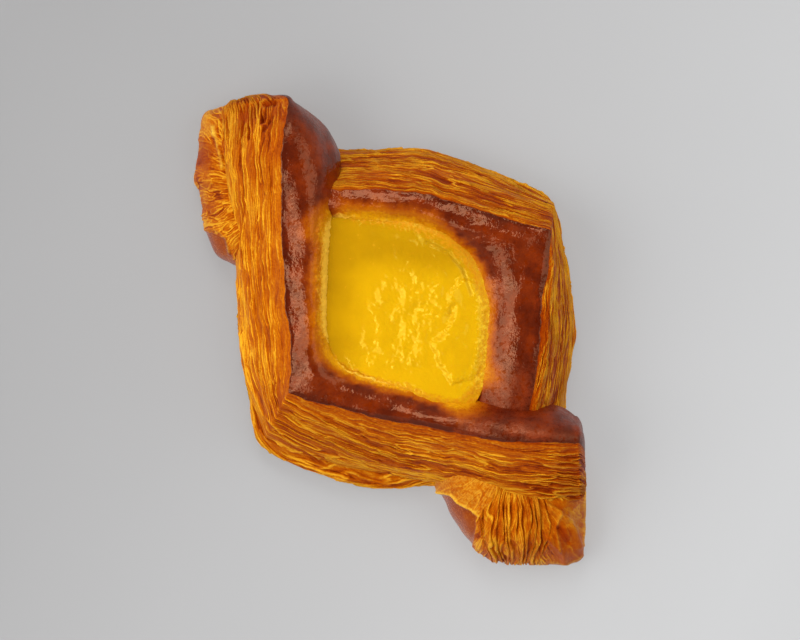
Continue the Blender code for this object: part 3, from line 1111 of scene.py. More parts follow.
    def with_ends(
        self, rings: np.ndarray, rows: np.ndarray, at: np.ndarray,
    ) -> tuple[np.ndarray, np.ndarray, np.ndarray]:
        """Add shrinking rings that round off both ends.

        Args:
            rings: the sections.
            rows: their rows.
            at: their distances along the roll.
        Returns:
            All rings, the row number that each came from, and their distances.
        """
        s = np.linspace(0.0, 1.0, self.END_RINGS + 1)[1:]
        size = np.cos(0.5 * math.pi * s * 0.97) ** 0.6
        caps = []
        for first, second, depth in ((0, 4, self.end_depths[0]), (-1, -5, self.end_depths[1])):
            ring = rings[first]
            way = rows[first, 0:2] - rows[second, 0:2]
            way = np.array([*(way / np.linalg.norm(way)), 0.0])
            centre = np.array([*ring[:, :2].mean(axis=0), STRIP_ROOT])
            squeeze = np.stack([size, size, 0.2 + 0.8 * size], axis=1)[:, None, :]
            advance = depth * np.sin(0.5 * math.pi * s)
            caps.append(centre + (ring - centre)[None] * squeeze + way * advance[:, None, None])
        rings = np.concatenate([caps[0][::-1], rings, caps[1]])
        ends = np.zeros(self.END_RINGS, int)
        number = np.concatenate([ends, np.arange(len(rows)), ends + len(rows) - 1])
        at = np.concatenate([at[0] - self.END_RUN * s[::-1], at, at[-1] + self.END_RUN * s])
        return rings, number, at

    def outward(self, rings: np.ndarray) -> np.ndarray:
        """Return the rings' outward normals."""
        normal = Skin(rings).normals()
        top = normal[len(rings) // 2, self.face_points + self.crown_points // 3, 2]
        return normal if top > 0 else -normal

    def face_relief(
        self, u: np.ndarray, across: np.ndarray, run_down: np.ndarray, ends: np.ndarray, marks: dict,
    ) -> tuple[np.ndarray, ...]:
        """Work out the cut face.

        Args:
            u: distance along the roll.
            across: distance down from the crease.
            run_down: how far the leaves have run down the face.
            ends: 1 at a loose end, fading along the roll.
            marks: the sums of the roll's marks.
        Returns:
            The height to add, the leaves' tone, 1 on the thin line below the crease, how
            clearly the leaves show, and the distance across the wandering leaves.
        """
        seed = self.layering.seed
        opened = np.clip(0.10 + ends + 0.30 * smooth_step(6.0, 14.0, across), 0.0, 1.0)
        height, layer, wander = self.layering.shape(u, across - run_down, opened)
        wavy = across + 1.1 * Grain(seed + 73).read(u / 8.0, across / 3.0)
        clear = smooth_step(0.35 * self.granular, self.granular + 0.2, wavy)
        calm = (0.34 + 0.66 * clear) * (1.0 - np.clip(marks["calm"], 0.0, 1.0))
        sugar = grain_sum(u, across, (seed + 70, 1.0, 0.55, 0.5), (seed + 74, 0.5, 1.3, 0.9))
        sugar = sugar * (1.0 - 0.8 * clear)
        seam = 1.0 - smooth_step(0.0, 0.55, across)
        width = across.max(axis=1, keepdims=True)
        # The lowest part of the face is painted lighter: a painted highlight where thin leaf edges catch the
        # light.
        painted_highlight_low = 0.16 * smooth_step(0.66, 0.80, across / width)
        fan = height * calm * (1.0 - 0.7 * seam) + 0.085 * sugar + marks["height"] - 0.12 * seam
        tone = 0.46 + (layer - 0.46) * (0.25 + 0.75 * calm) + 0.13 * sugar + marks["tone"] + painted_highlight_low
        return fan, np.clip(tone, 0.0, 1.0), seam, calm, wander

    def crown_relief(
        self, place: tuple[np.ndarray, np.ndarray], u: np.ndarray, across: np.ndarray, past: np.ndarray,
        splay: np.ndarray,
    ) -> tuple[np.ndarray, ...]:
        """Work out the glazed crown and its torn rim beside the custard.

        Args:
            place: places across and along the pastry.
            u: distance along the roll.
            across: distance down from the crease, below 0 on the crown.
            past: distance past the edge of the glaze, below 0 on the glaze.
            splay: how far the flank below the crown's inner edge splays out.
        Returns:
            The height to add, how far the glaze thins, how pale the torn crumbs are, and how
            dry the lower right corner is.
        """
        seed = self.layering.seed
        x, y = place
        still = across * 0.0
        beside = smooth_step(0.22, 0.34, splay)
        rim = tuple(map(tuple, closed_curve(CUSTARD_OUTLINE, self.RIM_CORNERS)))
        away = distance_to(x, y, rim + rim[:1])
        left = smooth_step(-9.0, -12.0, x) * smooth_step(-13.0, -5.0, y)
        right = smooth_step(14.0, 20.0, x) * smooth_step(-15.0, -10.0, y)
        top = smooth_step(19.0, 24.0, y) * smooth_step(18.0, 12.0, x)
        low = smooth_step(10.0, 2.0, x) * smooth_step(-6.0, -10.0, y)
        corner = smooth_step(12.0, 18.0, x) * smooth_step(-5.0, -12.0, y)

        reach = 2.0 + (2.2 - 0.7 * smooth_step(0.0, 10.0, y)) * left
        reach = reach + 0.5 * right + 1.8 * top + 3.2 * corner
        reach = reach + grain_sum(u, across, (seed + 76, 0.70, 5.0, 5.0), (seed + 85, 0.35, 1.6, 1.6))
        tan = np.clip(1.0 - 0.5 * away / reach, 0.0, 1.0) * beside
        tan = np.maximum(tan, 0.19 * smooth_step(0.2, 2.4, -past))

        wander = grain_sum(u, across, (seed + 77, 0.40, 1.7, 9.0), (seed + 78, 0.25, 0.6, 5.0))
        ledge_width = 2.3 * smooth_step(-5.0, 1.0, y) * left + 0.35 * low + 0.10
        torn = np.maximum(np.maximum(left, 0.9 * low), 0.55) * beside
        torn = torn * smooth_step(0.35, -0.35, away - ledge_width - wander)
        crumbs = grain_sum(x, y, (seed + 79, 1.0, 0.8, 0.8), (seed + 80, 0.6, 0.4, 0.4))
        cream = torn * (0.03 + smooth_step(0.80 * ledge_width, 0.1, away) + 0.35 * crumbs)
        lip = torn * (0.20 * crumbs + 0.40 * wander + 0.25)
        scallop = grain_sum(u, still, (seed + 86, 0.50, 3.4, 1.0), (seed + 87, 0.26, 1.3, 1.0))
        scallop = scallop * smooth_step(1.8, 0.2, away) * beside * (1.0 - left)
        swell = grain_sum(
            u, across, (seed + 71, 0.34, 9.0, 6.0), (seed + 72, 0.06, 2.6, 2.2), (seed + 75, 0.016, 1.1, 0.9),
        )
        crown = swell * smooth_step(0.0, 1.5, -past) * (1.0 - torn) + lip + scallop
        return crown, tan, cream, corner

    def relief(
        self, rings: np.ndarray, rows: np.ndarray, at: np.ndarray, length: float,
    ) -> tuple[np.ndarray, dict[str, np.ndarray]]:
        """Work out the whole roll's surface.

        Args:
            rings: the sections.
            rows: the row that each came from.
            at: their distances along the roll.
            length: the roll's length.
        Returns:
            The height to add at each point, and the values that colour it.
        """
        crease, edge = self.face_points, self.face_points + self.crown_points
        columns = np.arange(rings.shape[1])
        x, y = rings[:, :, 0], rings[:, :, 1]
        step = np.linalg.norm(np.diff(rings, axis=1), axis=2)
        along = np.concatenate([np.zeros((len(rings), 1)), np.cumsum(step, axis=1)], axis=1)
        across = along[:, crease:crease + 1] - along
        u = np.broadcast_to(at[:, None], across.shape)
        starts, stops = (1.0 - smooth_step(1.0, self.LOOSE_RUN, way) for way in (at, length - at))
        ends = np.maximum(self.loose[0] * starts, self.loose[1] * stops)[:, None]
        marks = read_marks(self.marks, x, y)
        share = at / length
        run_down, over, bake = (
            self.read_along(table, share)[0] for table in (self.slants, self.overs, self.bakes_and_shades)
        )
        clear, lighter = self.read_along(self.crisp, share)
        past = across - over - 0.25 * Grain(self.layering.seed + 84).read(u / 2.2, across * 0.0)
        face, layer, seam, lines, leaf_run = self.face_relief(u, past, run_down, ends, marks)
        crown, tan, cream, corner = self.crown_relief((x, y), u, across, past, rows[:, 9:10])

        on_face = smooth_step(-0.1, 0.1, past) * (columns < edge)
        on_crown = (1.0 - on_face) * (columns < edge + 3)
        on_glaze = (columns < edge + self.FLANK_POINTS)[None, :]
        # This mixes real baking at the loose ends, the seam and the marks with the painted shade of the
        # per-place table.
        baked_and_shaded = bake + 0.35 * ends + 0.4 * seam + marks["bake"]
        fields = {
            "layer": np.clip(0.46 + (layer - 0.46) * clear + lighter, 0.0, 1.0),
            "bake": np.clip(baked_and_shaded, 0.0, 1.0),
            "tan": tan,
            "along": u,
            "across": leaf_run,
            "lines": lines * clear,
            "pale": np.clip(cream + marks["pale"], 0.0, 1.0),
            "glaze": smooth_step(0.12, -0.12, past) * on_glaze,
            "dry": np.clip(1.3 * ends + 0.8 * corner, 0.0, 1.0),
        }
        return on_face * face + on_crown * crown, fields

    def build(self, finishes: Finishes) -> bpy.types.Object:
        """Make the roll and fix it to the frame.

        Args:
            finishes: the pastry's finishes.
        Returns:
            The roll's object.
        """
        rows, at = self.rows()
        length = at[-1]
        rings, number, at = self.with_ends(self.sections(rows, at / length), rows, at)
        relief, fields = self.relief(rings, rows[number], at, length)
        points = rings + self.outward(rings) * relief[:, :, None]
        piece = Skin(points, fields).make(self.name, [finishes.crust])
        dress(piece, "pastry")
        return piece


@dataclass
class FoldedTip:
    """A folded end of the lower strip, whose leaves spread from under the crossing.

    Attributes:
        name: the piece's name.
        outline: its outline on the tray, anticlockwise.
        apex: the point that its leaves spread from.
        top: its height over that point.
        layering: how its fine leaves look.
        liveliness: how strongly those show.
        marks: what single spots have of their own.
        petals: leaves that stand on edge, or None.
        spokes: points round the outline.
        rings: points from the middle out and down.
    """

    name: str
    outline: tuple[Place, ...]
    apex: Place
    top: float
    layering: Layering
    liveliness: float
    marks: tuple[Mark, ...]
    petals: Petals | None = None
    spokes: int = 600
    rings: int = 120

    LEAF_RADIUS = 19.0
    WIDTH = 22.0
    BAKE = 0.26
    TAN = 0.52
    DRY = 0.5

    def surface(self) -> np.ndarray:
        """Return the plain surface as rings of points, from the middle of the top to the tray."""
        rim = closed_curve(self.outline, self.spokes)
        apex = np.array(self.apex)
        table = np.array(TIP_PROFILE)
        fine = catmull(table, np.linspace(0.0, len(table) - 1.0, 400))
        run = np.hypot(np.diff(fine[:, 0]) * self.WIDTH, np.diff(fine[:, 1]) * self.top)
        run = np.concatenate([[0.0], np.cumsum(run)])
        at = np.linspace(0.0, run[-1], self.rings)
        reach, level = np.interp(at, run, fine[:, 0]), np.interp(at, run, fine[:, 1])
        flat = apex + (rim - apex)[None] * reach[:, None, None]
        height = np.broadcast_to(self.top * np.maximum(level, 0.0)[:, None], flat.shape[:2])
        return np.concatenate([flat, height[:, :, None]], axis=2)

    def build(self, finishes: Finishes) -> bpy.types.Object:
        """Make the tip and fix it to the frame.

        Args:
            finishes: the pastry's finishes.
        Returns:
            The tip's object.
        """
        plain = self.surface()
        x, y, z = plain[:, :, 0], plain[:, :, 1], plain[:, :, 2]
        dx, dy = x - self.apex[0], y - self.apex[1]
        heading = np.degrees(np.arctan2(dy, dx)) % 360.0
        along = np.hypot(dx, dy) + 0.8 * (self.top - z)
        across = np.radians(heading) * self.LEAF_RADIUS
        marks = read_marks(self.marks, x, y)
        calm = 1.0 - np.clip(marks["calm"], 0.0, 1.0)
        height, tone, leaf_run = self.layering.shape(along, across, np.full(x.shape, 0.2))
        height = self.liveliness * height * calm
        tone = 0.47 + (tone - 0.47) * (0.3 + 0.7 * calm) + marks["tone"]
        if self.petals is not None:
            leaf, shade, share = self.petals.shape(heading, along)
            share = share * calm
            height = height * (1.0 - 0.8 * share) + leaf * share
            tone = tone * (1.0 - share) + (shade + 0.25 * (tone - 0.47)) * share
        height = height + marks["height"] + 0.30 * Grain(self.layering.seed + 81).read(x / 3.4, y / 4.0)
        seed = self.layering.seed
        tone = tone + grain_sum(x, y, (seed + 82, 0.10, 2.6, 3.4), (seed + 83, 0.08, 0.9, 1.2))
        height = height * smooth_step(0.0, 1.2, z)
        normal = Skin(plain).normals()
        if normal[2, 0, 2] < 0:
            normal = -normal
        points = plain + normal * height[:, :, None]
        points[:, :, 2] = np.maximum(points[:, :, 2], 0.0)
        apex = np.array([*self.apex, 0.0])
        under = [apex + (points[-1] - apex) * np.array([share, share, 0.0]) for share in (0.85, 0.5, 0.02)]
        points = np.concatenate([points, np.stack(under)])
        fields = {
            "layer": np.clip(tone, 0.0, 1.0),
            "bake": np.clip(self.BAKE + marks["bake"], 0.0, 1.0),
            "pale": np.clip(marks["pale"], 0.0, 1.0),
            "glaze": np.clip(marks["glaze"], 0.0, 1.0),
            "tan": np.full(x.shape, self.TAN),
            "along": along,
            "across": leaf_run,
            "lines": self.liveliness * calm,
            "dry": np.full(x.shape, self.DRY),
        }
        pad = ((0, len(under)), (0, 0))
        fields = {key: np.pad(values, pad, "edge") for key, values in fields.items()}
        pick = (np.arange(len(points)) >= self.rings - 1).astype(int)
        piece = Skin(points, fields).make(self.name, [finishes.crust, finishes.underside], pick)
        dress(piece, "pastry")
        return piece


@dataclass
class BaseLayer:
    """The bottom sheet of dough: layered rim, flat underside, domed top.

    Attributes:
        rim_points: points round the rim.
        wall_points: points up the rim's wall.
        foot_inset: how far the resting face is drawn in.
        layering: how its rim looks.
    """

    rim_points: int = 860
    wall_points: int = 80
    foot_inset: float = 2.2
    layering: Layering = Layering(
        pitch=1.5, run=15.0, edge_height=0.34, gap_depth=0.30, open_depth=0.6, seed=29,
    )

    def build(self, finishes: Finishes) -> bpy.types.Object:
        """Make the base and fix it to the frame.

        Args:
            finishes: the pastry's finishes.
        Returns:
            The base's object.
        """
        rim = closed_curve(BASE_RIM, self.rim_points)
        run = np.arange(self.rim_points) * np.linalg.norm(rim[1] - rim[0])
        s = np.linspace(0.0, 1.0, self.wall_points)
        level = BASE_EDGE * s
        foot = self.foot_inset * np.clip(1.0 - s / 0.42, 0.0, 1.0) ** 2
        inwards = 0.3 + foot + 3.4 * np.clip((s - 0.62) / 0.38, 0.0, 1.0) ** 2.2
        wall = np.stack([at_height(inset(rim, inward), z) for inward, z in zip(inwards, level)])
        u = np.broadcast_to(run[None, :], wall.shape[:2])
        v = np.broadcast_to((level + 2.0 * s)[:, None], wall.shape[:2])
        height, layer, leaf_run = self.layering.shape(u, v, np.full(u.shape, 0.3))
        meet = (smooth_step(0.0, 12.0, run) * smooth_step(0.0, 12.0, run[::-1]))[None, :]
        keep = smooth_step(0.02, 0.12, s)[:, None] * (0.3 + 0.7 * meet)
        normal = Skin(wall).normals()
        outward = wall[self.wall_points // 2, :, :2] - rim.mean(axis=0)
        if (normal[self.wall_points // 2, :, :2] * outward).sum() < 0:
            normal = -normal
        waves = 0.5 * Grain(95).read(u / 7.0, v / 3.0)
        wall = wall + normal * ((height + waves * meet) * keep)[:, :, None]
        wall[:, :, 2] = np.maximum(wall[:, :, 2], 0.0)
        centre = rim.mean(axis=0)

        def lid(ring: np.ndarray, share: float, z: float) -> np.ndarray:
            """Return the ring drawn towards the middle at the given height."""
            return at_height(centre + (ring[:, :2] - centre) * share, z)

        under = [lid(wall[0], share, 0.0) for share in (0.02, 0.35, 0.7, 0.97)]
        rise = BASE_TOP - BASE_EDGE
        over = [lid(wall[-1], share, BASE_EDGE + rise * (1 - share)) for share in (0.85, 0.6, 0.3, 0.02)]
        points = np.concatenate([np.stack(under), wall, np.stack(over)])
        tone = np.full(points.shape[:2], 0.45)
        tone[len(under):len(under) + self.wall_points] = layer
        fields = {
            "layer": tone, "bake": 0.25, "tan": 0.0, "glaze": 0.0, "pale": 0.0, "lines": 1.0, "dry": 0.0,
            "along": np.broadcast_to(run[None, :], tone.shape),
            "across": np.pad(leaf_run, ((len(under), len(over)), (0, 0)), "edge"),
        }
        pick = (np.arange(len(points)) < len(under) + 2).astype(int)
        piece = Skin(points, fields).make("base_layer", [finishes.crust, finishes.underside], pick)
        dress(piece, "pastry")
        return piece


# ---- the filling ----------------------------------------------------------------------------
@dataclass
class CustardPool:
    """The baked custard, with the soft folds of its skin and its torn right rim.

    Attributes:
        open_rings: rings on the open surface.
        rim_rings: closer rings near the rim.
        spokes: points round the rim.
        rim_zone: width of the rim, where the rings lie closer.
        overlap: how far the custard runs on under the dough at its rim.
    """

    open_rings: int = 64
    rim_rings: int = 40
    spokes: int = 620
    rim_zone: float = 6.0
    overlap: float = 2.2

    # The raised fold on the right, then the lines in the skin, each with its depth.
    LUMP = Patch((
        (14.3, 8.5), (16.8, 12.2), (26.0, 11.0), (27.0, 0.0), (24.0, -10.0), (15.0, -12.5), (11.8, -7.6),
        (10.2, -3.0), (13.0, -1.4), (14.6, 2.0),
    ), 0.9, 0.5)
    DIMPLE = Stroke(((15.2, 5.6), (14.7, 3.2)), 1.0)
    SPLIT = Stroke(((21.6, 6.0), (21.0, -2.0), (19.2, -8.0), (16.4, -15.4)), 0.40)
    CREASE = Stroke(((9.0, 20.8), (14.2, 18.4), (17.6, 14.4), (19.6, 8.6)), 0.42)
    ARC = Stroke(((-8.5, 20.4), (-2.0, 21.6), (5.0, 20.4), (11.5, 17.0), (16.2, 11.5), (18.2, 6.0)), 1.9)
    LINES = ((DIMPLE, 0.75), (SPLIT, 0.05), (ARC, 0.30), (CREASE, 0.34))

    def folds(self, x: np.ndarray, y: np.ndarray, lively: np.ndarray) -> np.ndarray:
        """Work out the skin's folds and ripples.

        Args:
            x: places across.
            y: places along.
            lively: how strong the ripples are, 0 to 1.
        Returns:
            The height above the plain dome.
        """
        z = 0.75 * self.LUMP.weight(x, y)
        for line, depth in self.LINES:
            z = z - depth * line.weight(x, y)
        lumps = grain_sum(x, y, (301, 0.46, 3.6, 3.8), (302, 0.12, 1.5, 1.6), (303, 0.06, 0.7, 0.8))
        return z + grain_sum(x, y, (304, 0.22, 9.0, 12.0), (305, 0.06, 2.2, 9.0)) + lively * lumps

    def rim_marks(
        self, inner: np.ndarray, run: np.ndarray, x: np.ndarray, y: np.ndarray,
    ) -> tuple[np.ndarray, np.ndarray]:
        """Work out the torn ledge and the caught band.

        Args:
            inner: distance in from the rim.
            run: distance round the rim.
            x: places across.
            y: places along.
        Returns:
            The ledge and the band, each from 0 to 1.
        """
        right = smooth_step(14.0, 17.0, x) * smooth_step(-16.0, -12.0, y) * smooth_step(12.0, 6.0, y)
        ragged = grain_sum(run, run * 0.0, (321, 1.1, 2.4, 1.0), (322, 0.35, 0.6, 1.0))
        ledge = 0.40 * right * smooth_step(0.3, -0.3, inner - 1.7 - ragged)
        top = smooth_step(13.0, 21.0, y) + 0.6 * smooth_step(12.0, 20.0, x + 0.3 * y)
        top = np.maximum(top, smooth_step(-6.0, -10.0, y) * 0.5)
        left = smooth_step(-9.0, -12.0, x) * smooth_step(-8.0, -2.0, y)
        reach = 0.8 + 2.0 * np.clip(top, 0, 1) + 0.8 * Grain(323).read(run / 4.0, inner / 2.0)
        caught = 0.8 * smooth_step(1.0, 0.0, inner / reach) * (1.0 - 0.9 * left)
        return ledge, caught

    def build(self, finishes: Finishes) -> bpy.types.Object:
        """Make the custard and fix it to the frame.

        Args:
            finishes: the pastry's finishes.
        Returns:
            The custard's object.
        """
        rim = inset(closed_curve(CUSTARD_OUTLINE, self.spokes), -self.overlap)
        run = np.arange(self.spokes) * np.linalg.norm(rim[1] - rim[0])
        centre = rim.mean(axis=0)
        radius = np.linalg.norm(rim - centre, axis=1)
        zone = 1.0 - self.rim_zone / radius.mean()
        opened = np.linspace(0.01, zone, self.open_rings, endpoint=False)
        share = np.concatenate([opened, np.linspace(zone, 1.0, self.rim_rings)])
        flat = centre + (rim - centre)[None] * share[:, None, None]
        x, y = flat[:, :, 0], flat[:, :, 1]
        inner = (1.0 - share[:, None]) * radius[None, :] * 0.93 - self.overlap
        ledge, caught = self.rim_marks(inner, np.broadcast_to(run[None, :], x.shape), x, y)
        lively = 0.10 + bell(x, 7.0, 8.5) * bell(y, 3.0, 13.0)
        lively = lively + 0.6 * bell(x, -7.0, 5.0) * bell(y, -6.0, 4.0)
        slope = 2.3 * smooth_step(-14.0, 13.0, x) - 0.9 * smooth_step(14.0, 21.0, x)
        dome = CUSTARD_RIM - 0.40 + slope - 0.35 * np.clip(-inner, 0.0, 3.0)
        crumb = grain_sum(x, y, (331, 1.0, 0.75, 0.75), (332, 0.6, 0.34, 0.34))
        rough = np.clip(ledge + 0.8 * caught, 0, 1)
        z = dome + self.folds(x, y, lively) * smooth_step(-0.5, 2.0, inner)
        z = z + 0.30 * ledge + 0.12 * crumb * rough
        top = np.concatenate([flat, z[:, :, None]], axis=2)
        levels = ((0.3, 16.0), (1.6, 13.0), (5.0, CUSTARD_FLOOR))
        below = [at_height(inset(rim, inwards), level) for inwards, level in levels]
        points = np.concatenate([top, np.stack(below)])
        # Painted light and shade: the custard is painted darker at its left and top, which lie in the crust's
        # shadow, and in its crease, and a little lighter on the raised fold that faces the light.
        dull = smooth_step(-4.0, -13.0, x) * 0.75 + 0.8 * smooth_step(12.0, 20.0, y)
        dull = dull + 0.25 * smooth_step(6.0, 16.0, y) - 0.35 * self.LUMP.weight(x, y)
        dull = dull + 0.6 * self.CREASE.weight(x, y)
        fields = {
            "torn": ledge, "caught": caught, "dull": np.clip(dull, 0.0, 1.0),
            "lively": np.clip(lively, 0.0, 1.0),
        }
        pad = ((0, len(below)), (0, 0))
        fields = {key: np.pad(values, pad, "edge") for key, values in fields.items()}
        piece = Skin(points, fields).make("custard_pool", [finishes.custard])
        dress(piece, "custard")
        return piece


# ---- the studio -----------------------------------------------------------------------------
@dataclass
class Studio:
    """Pale floor, soft lights and an overhead camera.

    Attributes:
        shot_width: how much of the floor the picture takes in across.
        camera_height: how high the camera stands above the pastry.
        aim: what the camera looks down on.
        lamp_distance: how far each lamp hangs from the pastry.
        sensor: width of the camera's sensor, in its own millimetres.
        floor_reach: how far the floor goes to each side.
    """

    shot_width: float = 0.1916
    camera_height: float = 1.6
    aim: tuple[float, float, float] = (0.0025, 0.0024, 0.016)
    lamp_distance: float = 1.5
    sensor: float = 36.0
    floor_reach: float = 4.0

    # How bright the room is from the horizon to straight above.
    SKY = ((0.0, 0.55), (0.5, 0.50), (0.85, 0.39), (0.97, 0.29))

    # Each lamp: name, bearing and elevation in degrees, its two sides in metres, and its watts.
    LAMPS = (
        ("key_left", 174.0, 46.0, (1.05, 1.1), 10.2),
        ("side_top", 96.0, 50.0, (0.66, 0.66), 6.2),
        ("fill_right", 12.0, 46.0, (1.1, 1.1), 5.4),
        ("corner_light", 213.0, 52.0, (0.85, 0.85), 5.6),
    )

    def floor(self) -> None:
        """Lay a large pale floor that glows faintly, like a light table; the glow is painted light that fills
        in the pastry's shadow.
        """
        bm = bmesh.new()
        bmesh.ops.create_grid(bm, x_segments=1, y_segments=1, size=self.floor_reach)
        sheet = NodeSheet("floor_paper")
        parts = sheet.tree.nodes.new("ShaderNodeSeparateXYZ")
        sheet.tree.links.new(sheet.place, parts.inputs["Vector"])
        # Painted light: the floor's colour and glow grow brighter towards +X and -Y, a painted fall of light
        # across it.
        lean = sheet.math("SUBTRACT", parts.outputs["X"], sheet.math("MULTIPLY", parts.outputs["Y"], 0.5))
        lean = sheet.jitter(lean, sheet.noise(0.006, 3.0, 0.5), 0.012, 0.15)
        shade = sheet.remap(lean, -0.12, 0.12)
        sheet.link(sheet.mix(shade, (0.17, 0.17, 0.172), (0.24, 0.24, 0.242)), "Base Color")
        sheet.link(sheet.mix(shade, (0.216, 0.212, 0.212), (0.370, 0.373, 0.376)), "Emission Color")
        sheet.set(Roughness=0.8, Specular_IOR_Level=0.2, Emission_Strength=1.0)
        link_mesh("floor", bm, [sheet.material])

    def sky(self) -> None:
        """Give the room dim even light, a little brighter low down."""
        world = bpy.data.worlds.new("studio")
        bpy.context.scene.world = world
        world.use_nodes = True
        tree = world.node_tree
        place = tree.nodes.new("ShaderNodeTexCoord")
        parts = tree.nodes.new("ShaderNodeSeparateXYZ")
        ramp = tree.nodes.new("ShaderNodeValToRGB")
        tree.links.new(place.outputs["Generated"], parts.inputs["Vector"])
        tree.links.new(parts.outputs["Z"], ramp.inputs["Fac"])
        fill_ramp(ramp, [(position, (level, level, level)) for position, level in self.SKY])
        tree.links.new(ramp.outputs["Color"], tree.nodes["Background"].inputs["Color"])

    def lamp(self, name: str, bearing: float, height: float, size: Place, power: float) -> None:
        """Hang one soft light that faces the pastry.

        Args:
            name: the light's name.
            bearing: its direction in degrees anticlockwise from +X.
            height: its elevation in degrees.
            size: its two sides, across and up.
            power: its power in watts.
        """
        data = bpy.data.lights.new(name, "AREA")
        data.shape = "RECTANGLE"
        data.size, data.size_y = size
        data.energy = power
        a, e = math.radians(bearing), math.radians(height)
        way = Vector((math.cos(a) * math.cos(e), math.sin(a) * math.cos(e), math.sin(e)))
        place = way * self.lamp_distance
        lamp = bpy.data.objects.new(name, data)
        lamp.location = place
        lamp.rotation_euler = (-place).to_track_quat("-Z", "Y").to_euler()
        bpy.context.scene.collection.objects.link(lamp)

    def camera(self) -> None:
        """Set the camera straight above the pastry."""
        data = bpy.data.cameras.new("overhead")
        data.sensor_width = self.sensor
        data.lens = self.sensor * self.camera_height / self.shot_width
        data.clip_end = 20.0
        camera = bpy.data.objects.new("overhead", data)
        x, y, z = self.aim
        camera.location = (x, y, z + self.camera_height)
        bpy.context.scene.collection.objects.link(camera)
        bpy.context.scene.camera = camera

    def build(self) -> None:
        """Set up the whole studio."""
        self.floor()
        self.sky()
        for lamp in self.LAMPS:
            self.lamp(*lamp)
        self.camera()
        bpy.context.scene.view_settings.view_transform = "Standard"


# ---- what single spots of the dough have of their own, and their painted shade and sheen ----
UPPER_MARKS = (
    Mark(Stroke(((-30.2, -20.4), (-24.4, -26.2), (-16.7, -31.0)), 0.20), height=0.5, tone=0.42),
    Mark(Stroke(((-35.6, -1.0), (-33.8, -12.0), (-30.4, -20.6)), 0.24), height=0.5, tone=0.40),
    Mark(Stroke(((-27.0, -27.0), (-15.0, -33.0), (0.0, -36.2)), 0.30), height=0.5, tone=0.45),
    Mark(Stroke(((-41.4, 51.5), (-34.0, 55.4), (-29.6, 56.2)), 1.1), height=0.6, tone=0.1, bake=0.3),
    # Painted shade: these two grooves are painted darker where shade falls in them.
    Mark(Stroke(((-29.6, 54.0), (-27.6, 54.4)), 0.55), height=-1.0, tone=-0.6, bake=0.8),
    Mark(Stroke(((-30.6, 50.8), (-30.2, 49.8)), 0.45), height=-0.9, tone=-0.6, bake=0.8),
)
LEFT_TIP_MARKS = (
    Mark(Patch(((-46.5, 54.0), (-42.2, 54.0), (-41.6, 47.4), (-43.2, 46.0), (-47.0, 46.6)), 1.5, 1.0),
         height=0.4, calm=0.9, pale=0.28, tone=0.12),
    Mark(Stroke(((-42.2, 48.6), (-41.2, 44.2), (-40.1, 39.4)), 0.50), height=0.5, calm=0.8, pale=0.45),
    Mark(Patch(((-45.8, 45.4), (-42.4, 44.8), (-42.0, 41.0), (-43.6, 39.2), (-47.4, 39.8)), 1.6, 0.9),
         height=0.1, calm=0.7, bake=0.62, tone=-0.02),
    # Painted sheen: this lighter, pinker patch on the tip's side stands for the light's reflection there.
    Mark(Patch(((-45.6, 39.4), (-43.2, 39.4), (-42.8, 34.8), (-44.6, 34.0), (-46.0, 36.0)), 0.6, 0.4),
         calm=0.8, bake=0.35, tone=0.12),
    Mark(Patch(((-48.0, 25.0), (-43.6, 23.6), (-39.4, 22.0), (-36.0, 13.0), (-44.0, 14.0)), 0.5, 0.3),
         calm=1.0, glaze=1.0, height=-0.1),
    Mark(Stroke(((-44.4, 24.2), (-41.6, 24.2), (-39.4, 22.2), (-38.4, 18.4)), 0.40),
         height=0.40, calm=1.0, pale=0.30),
)
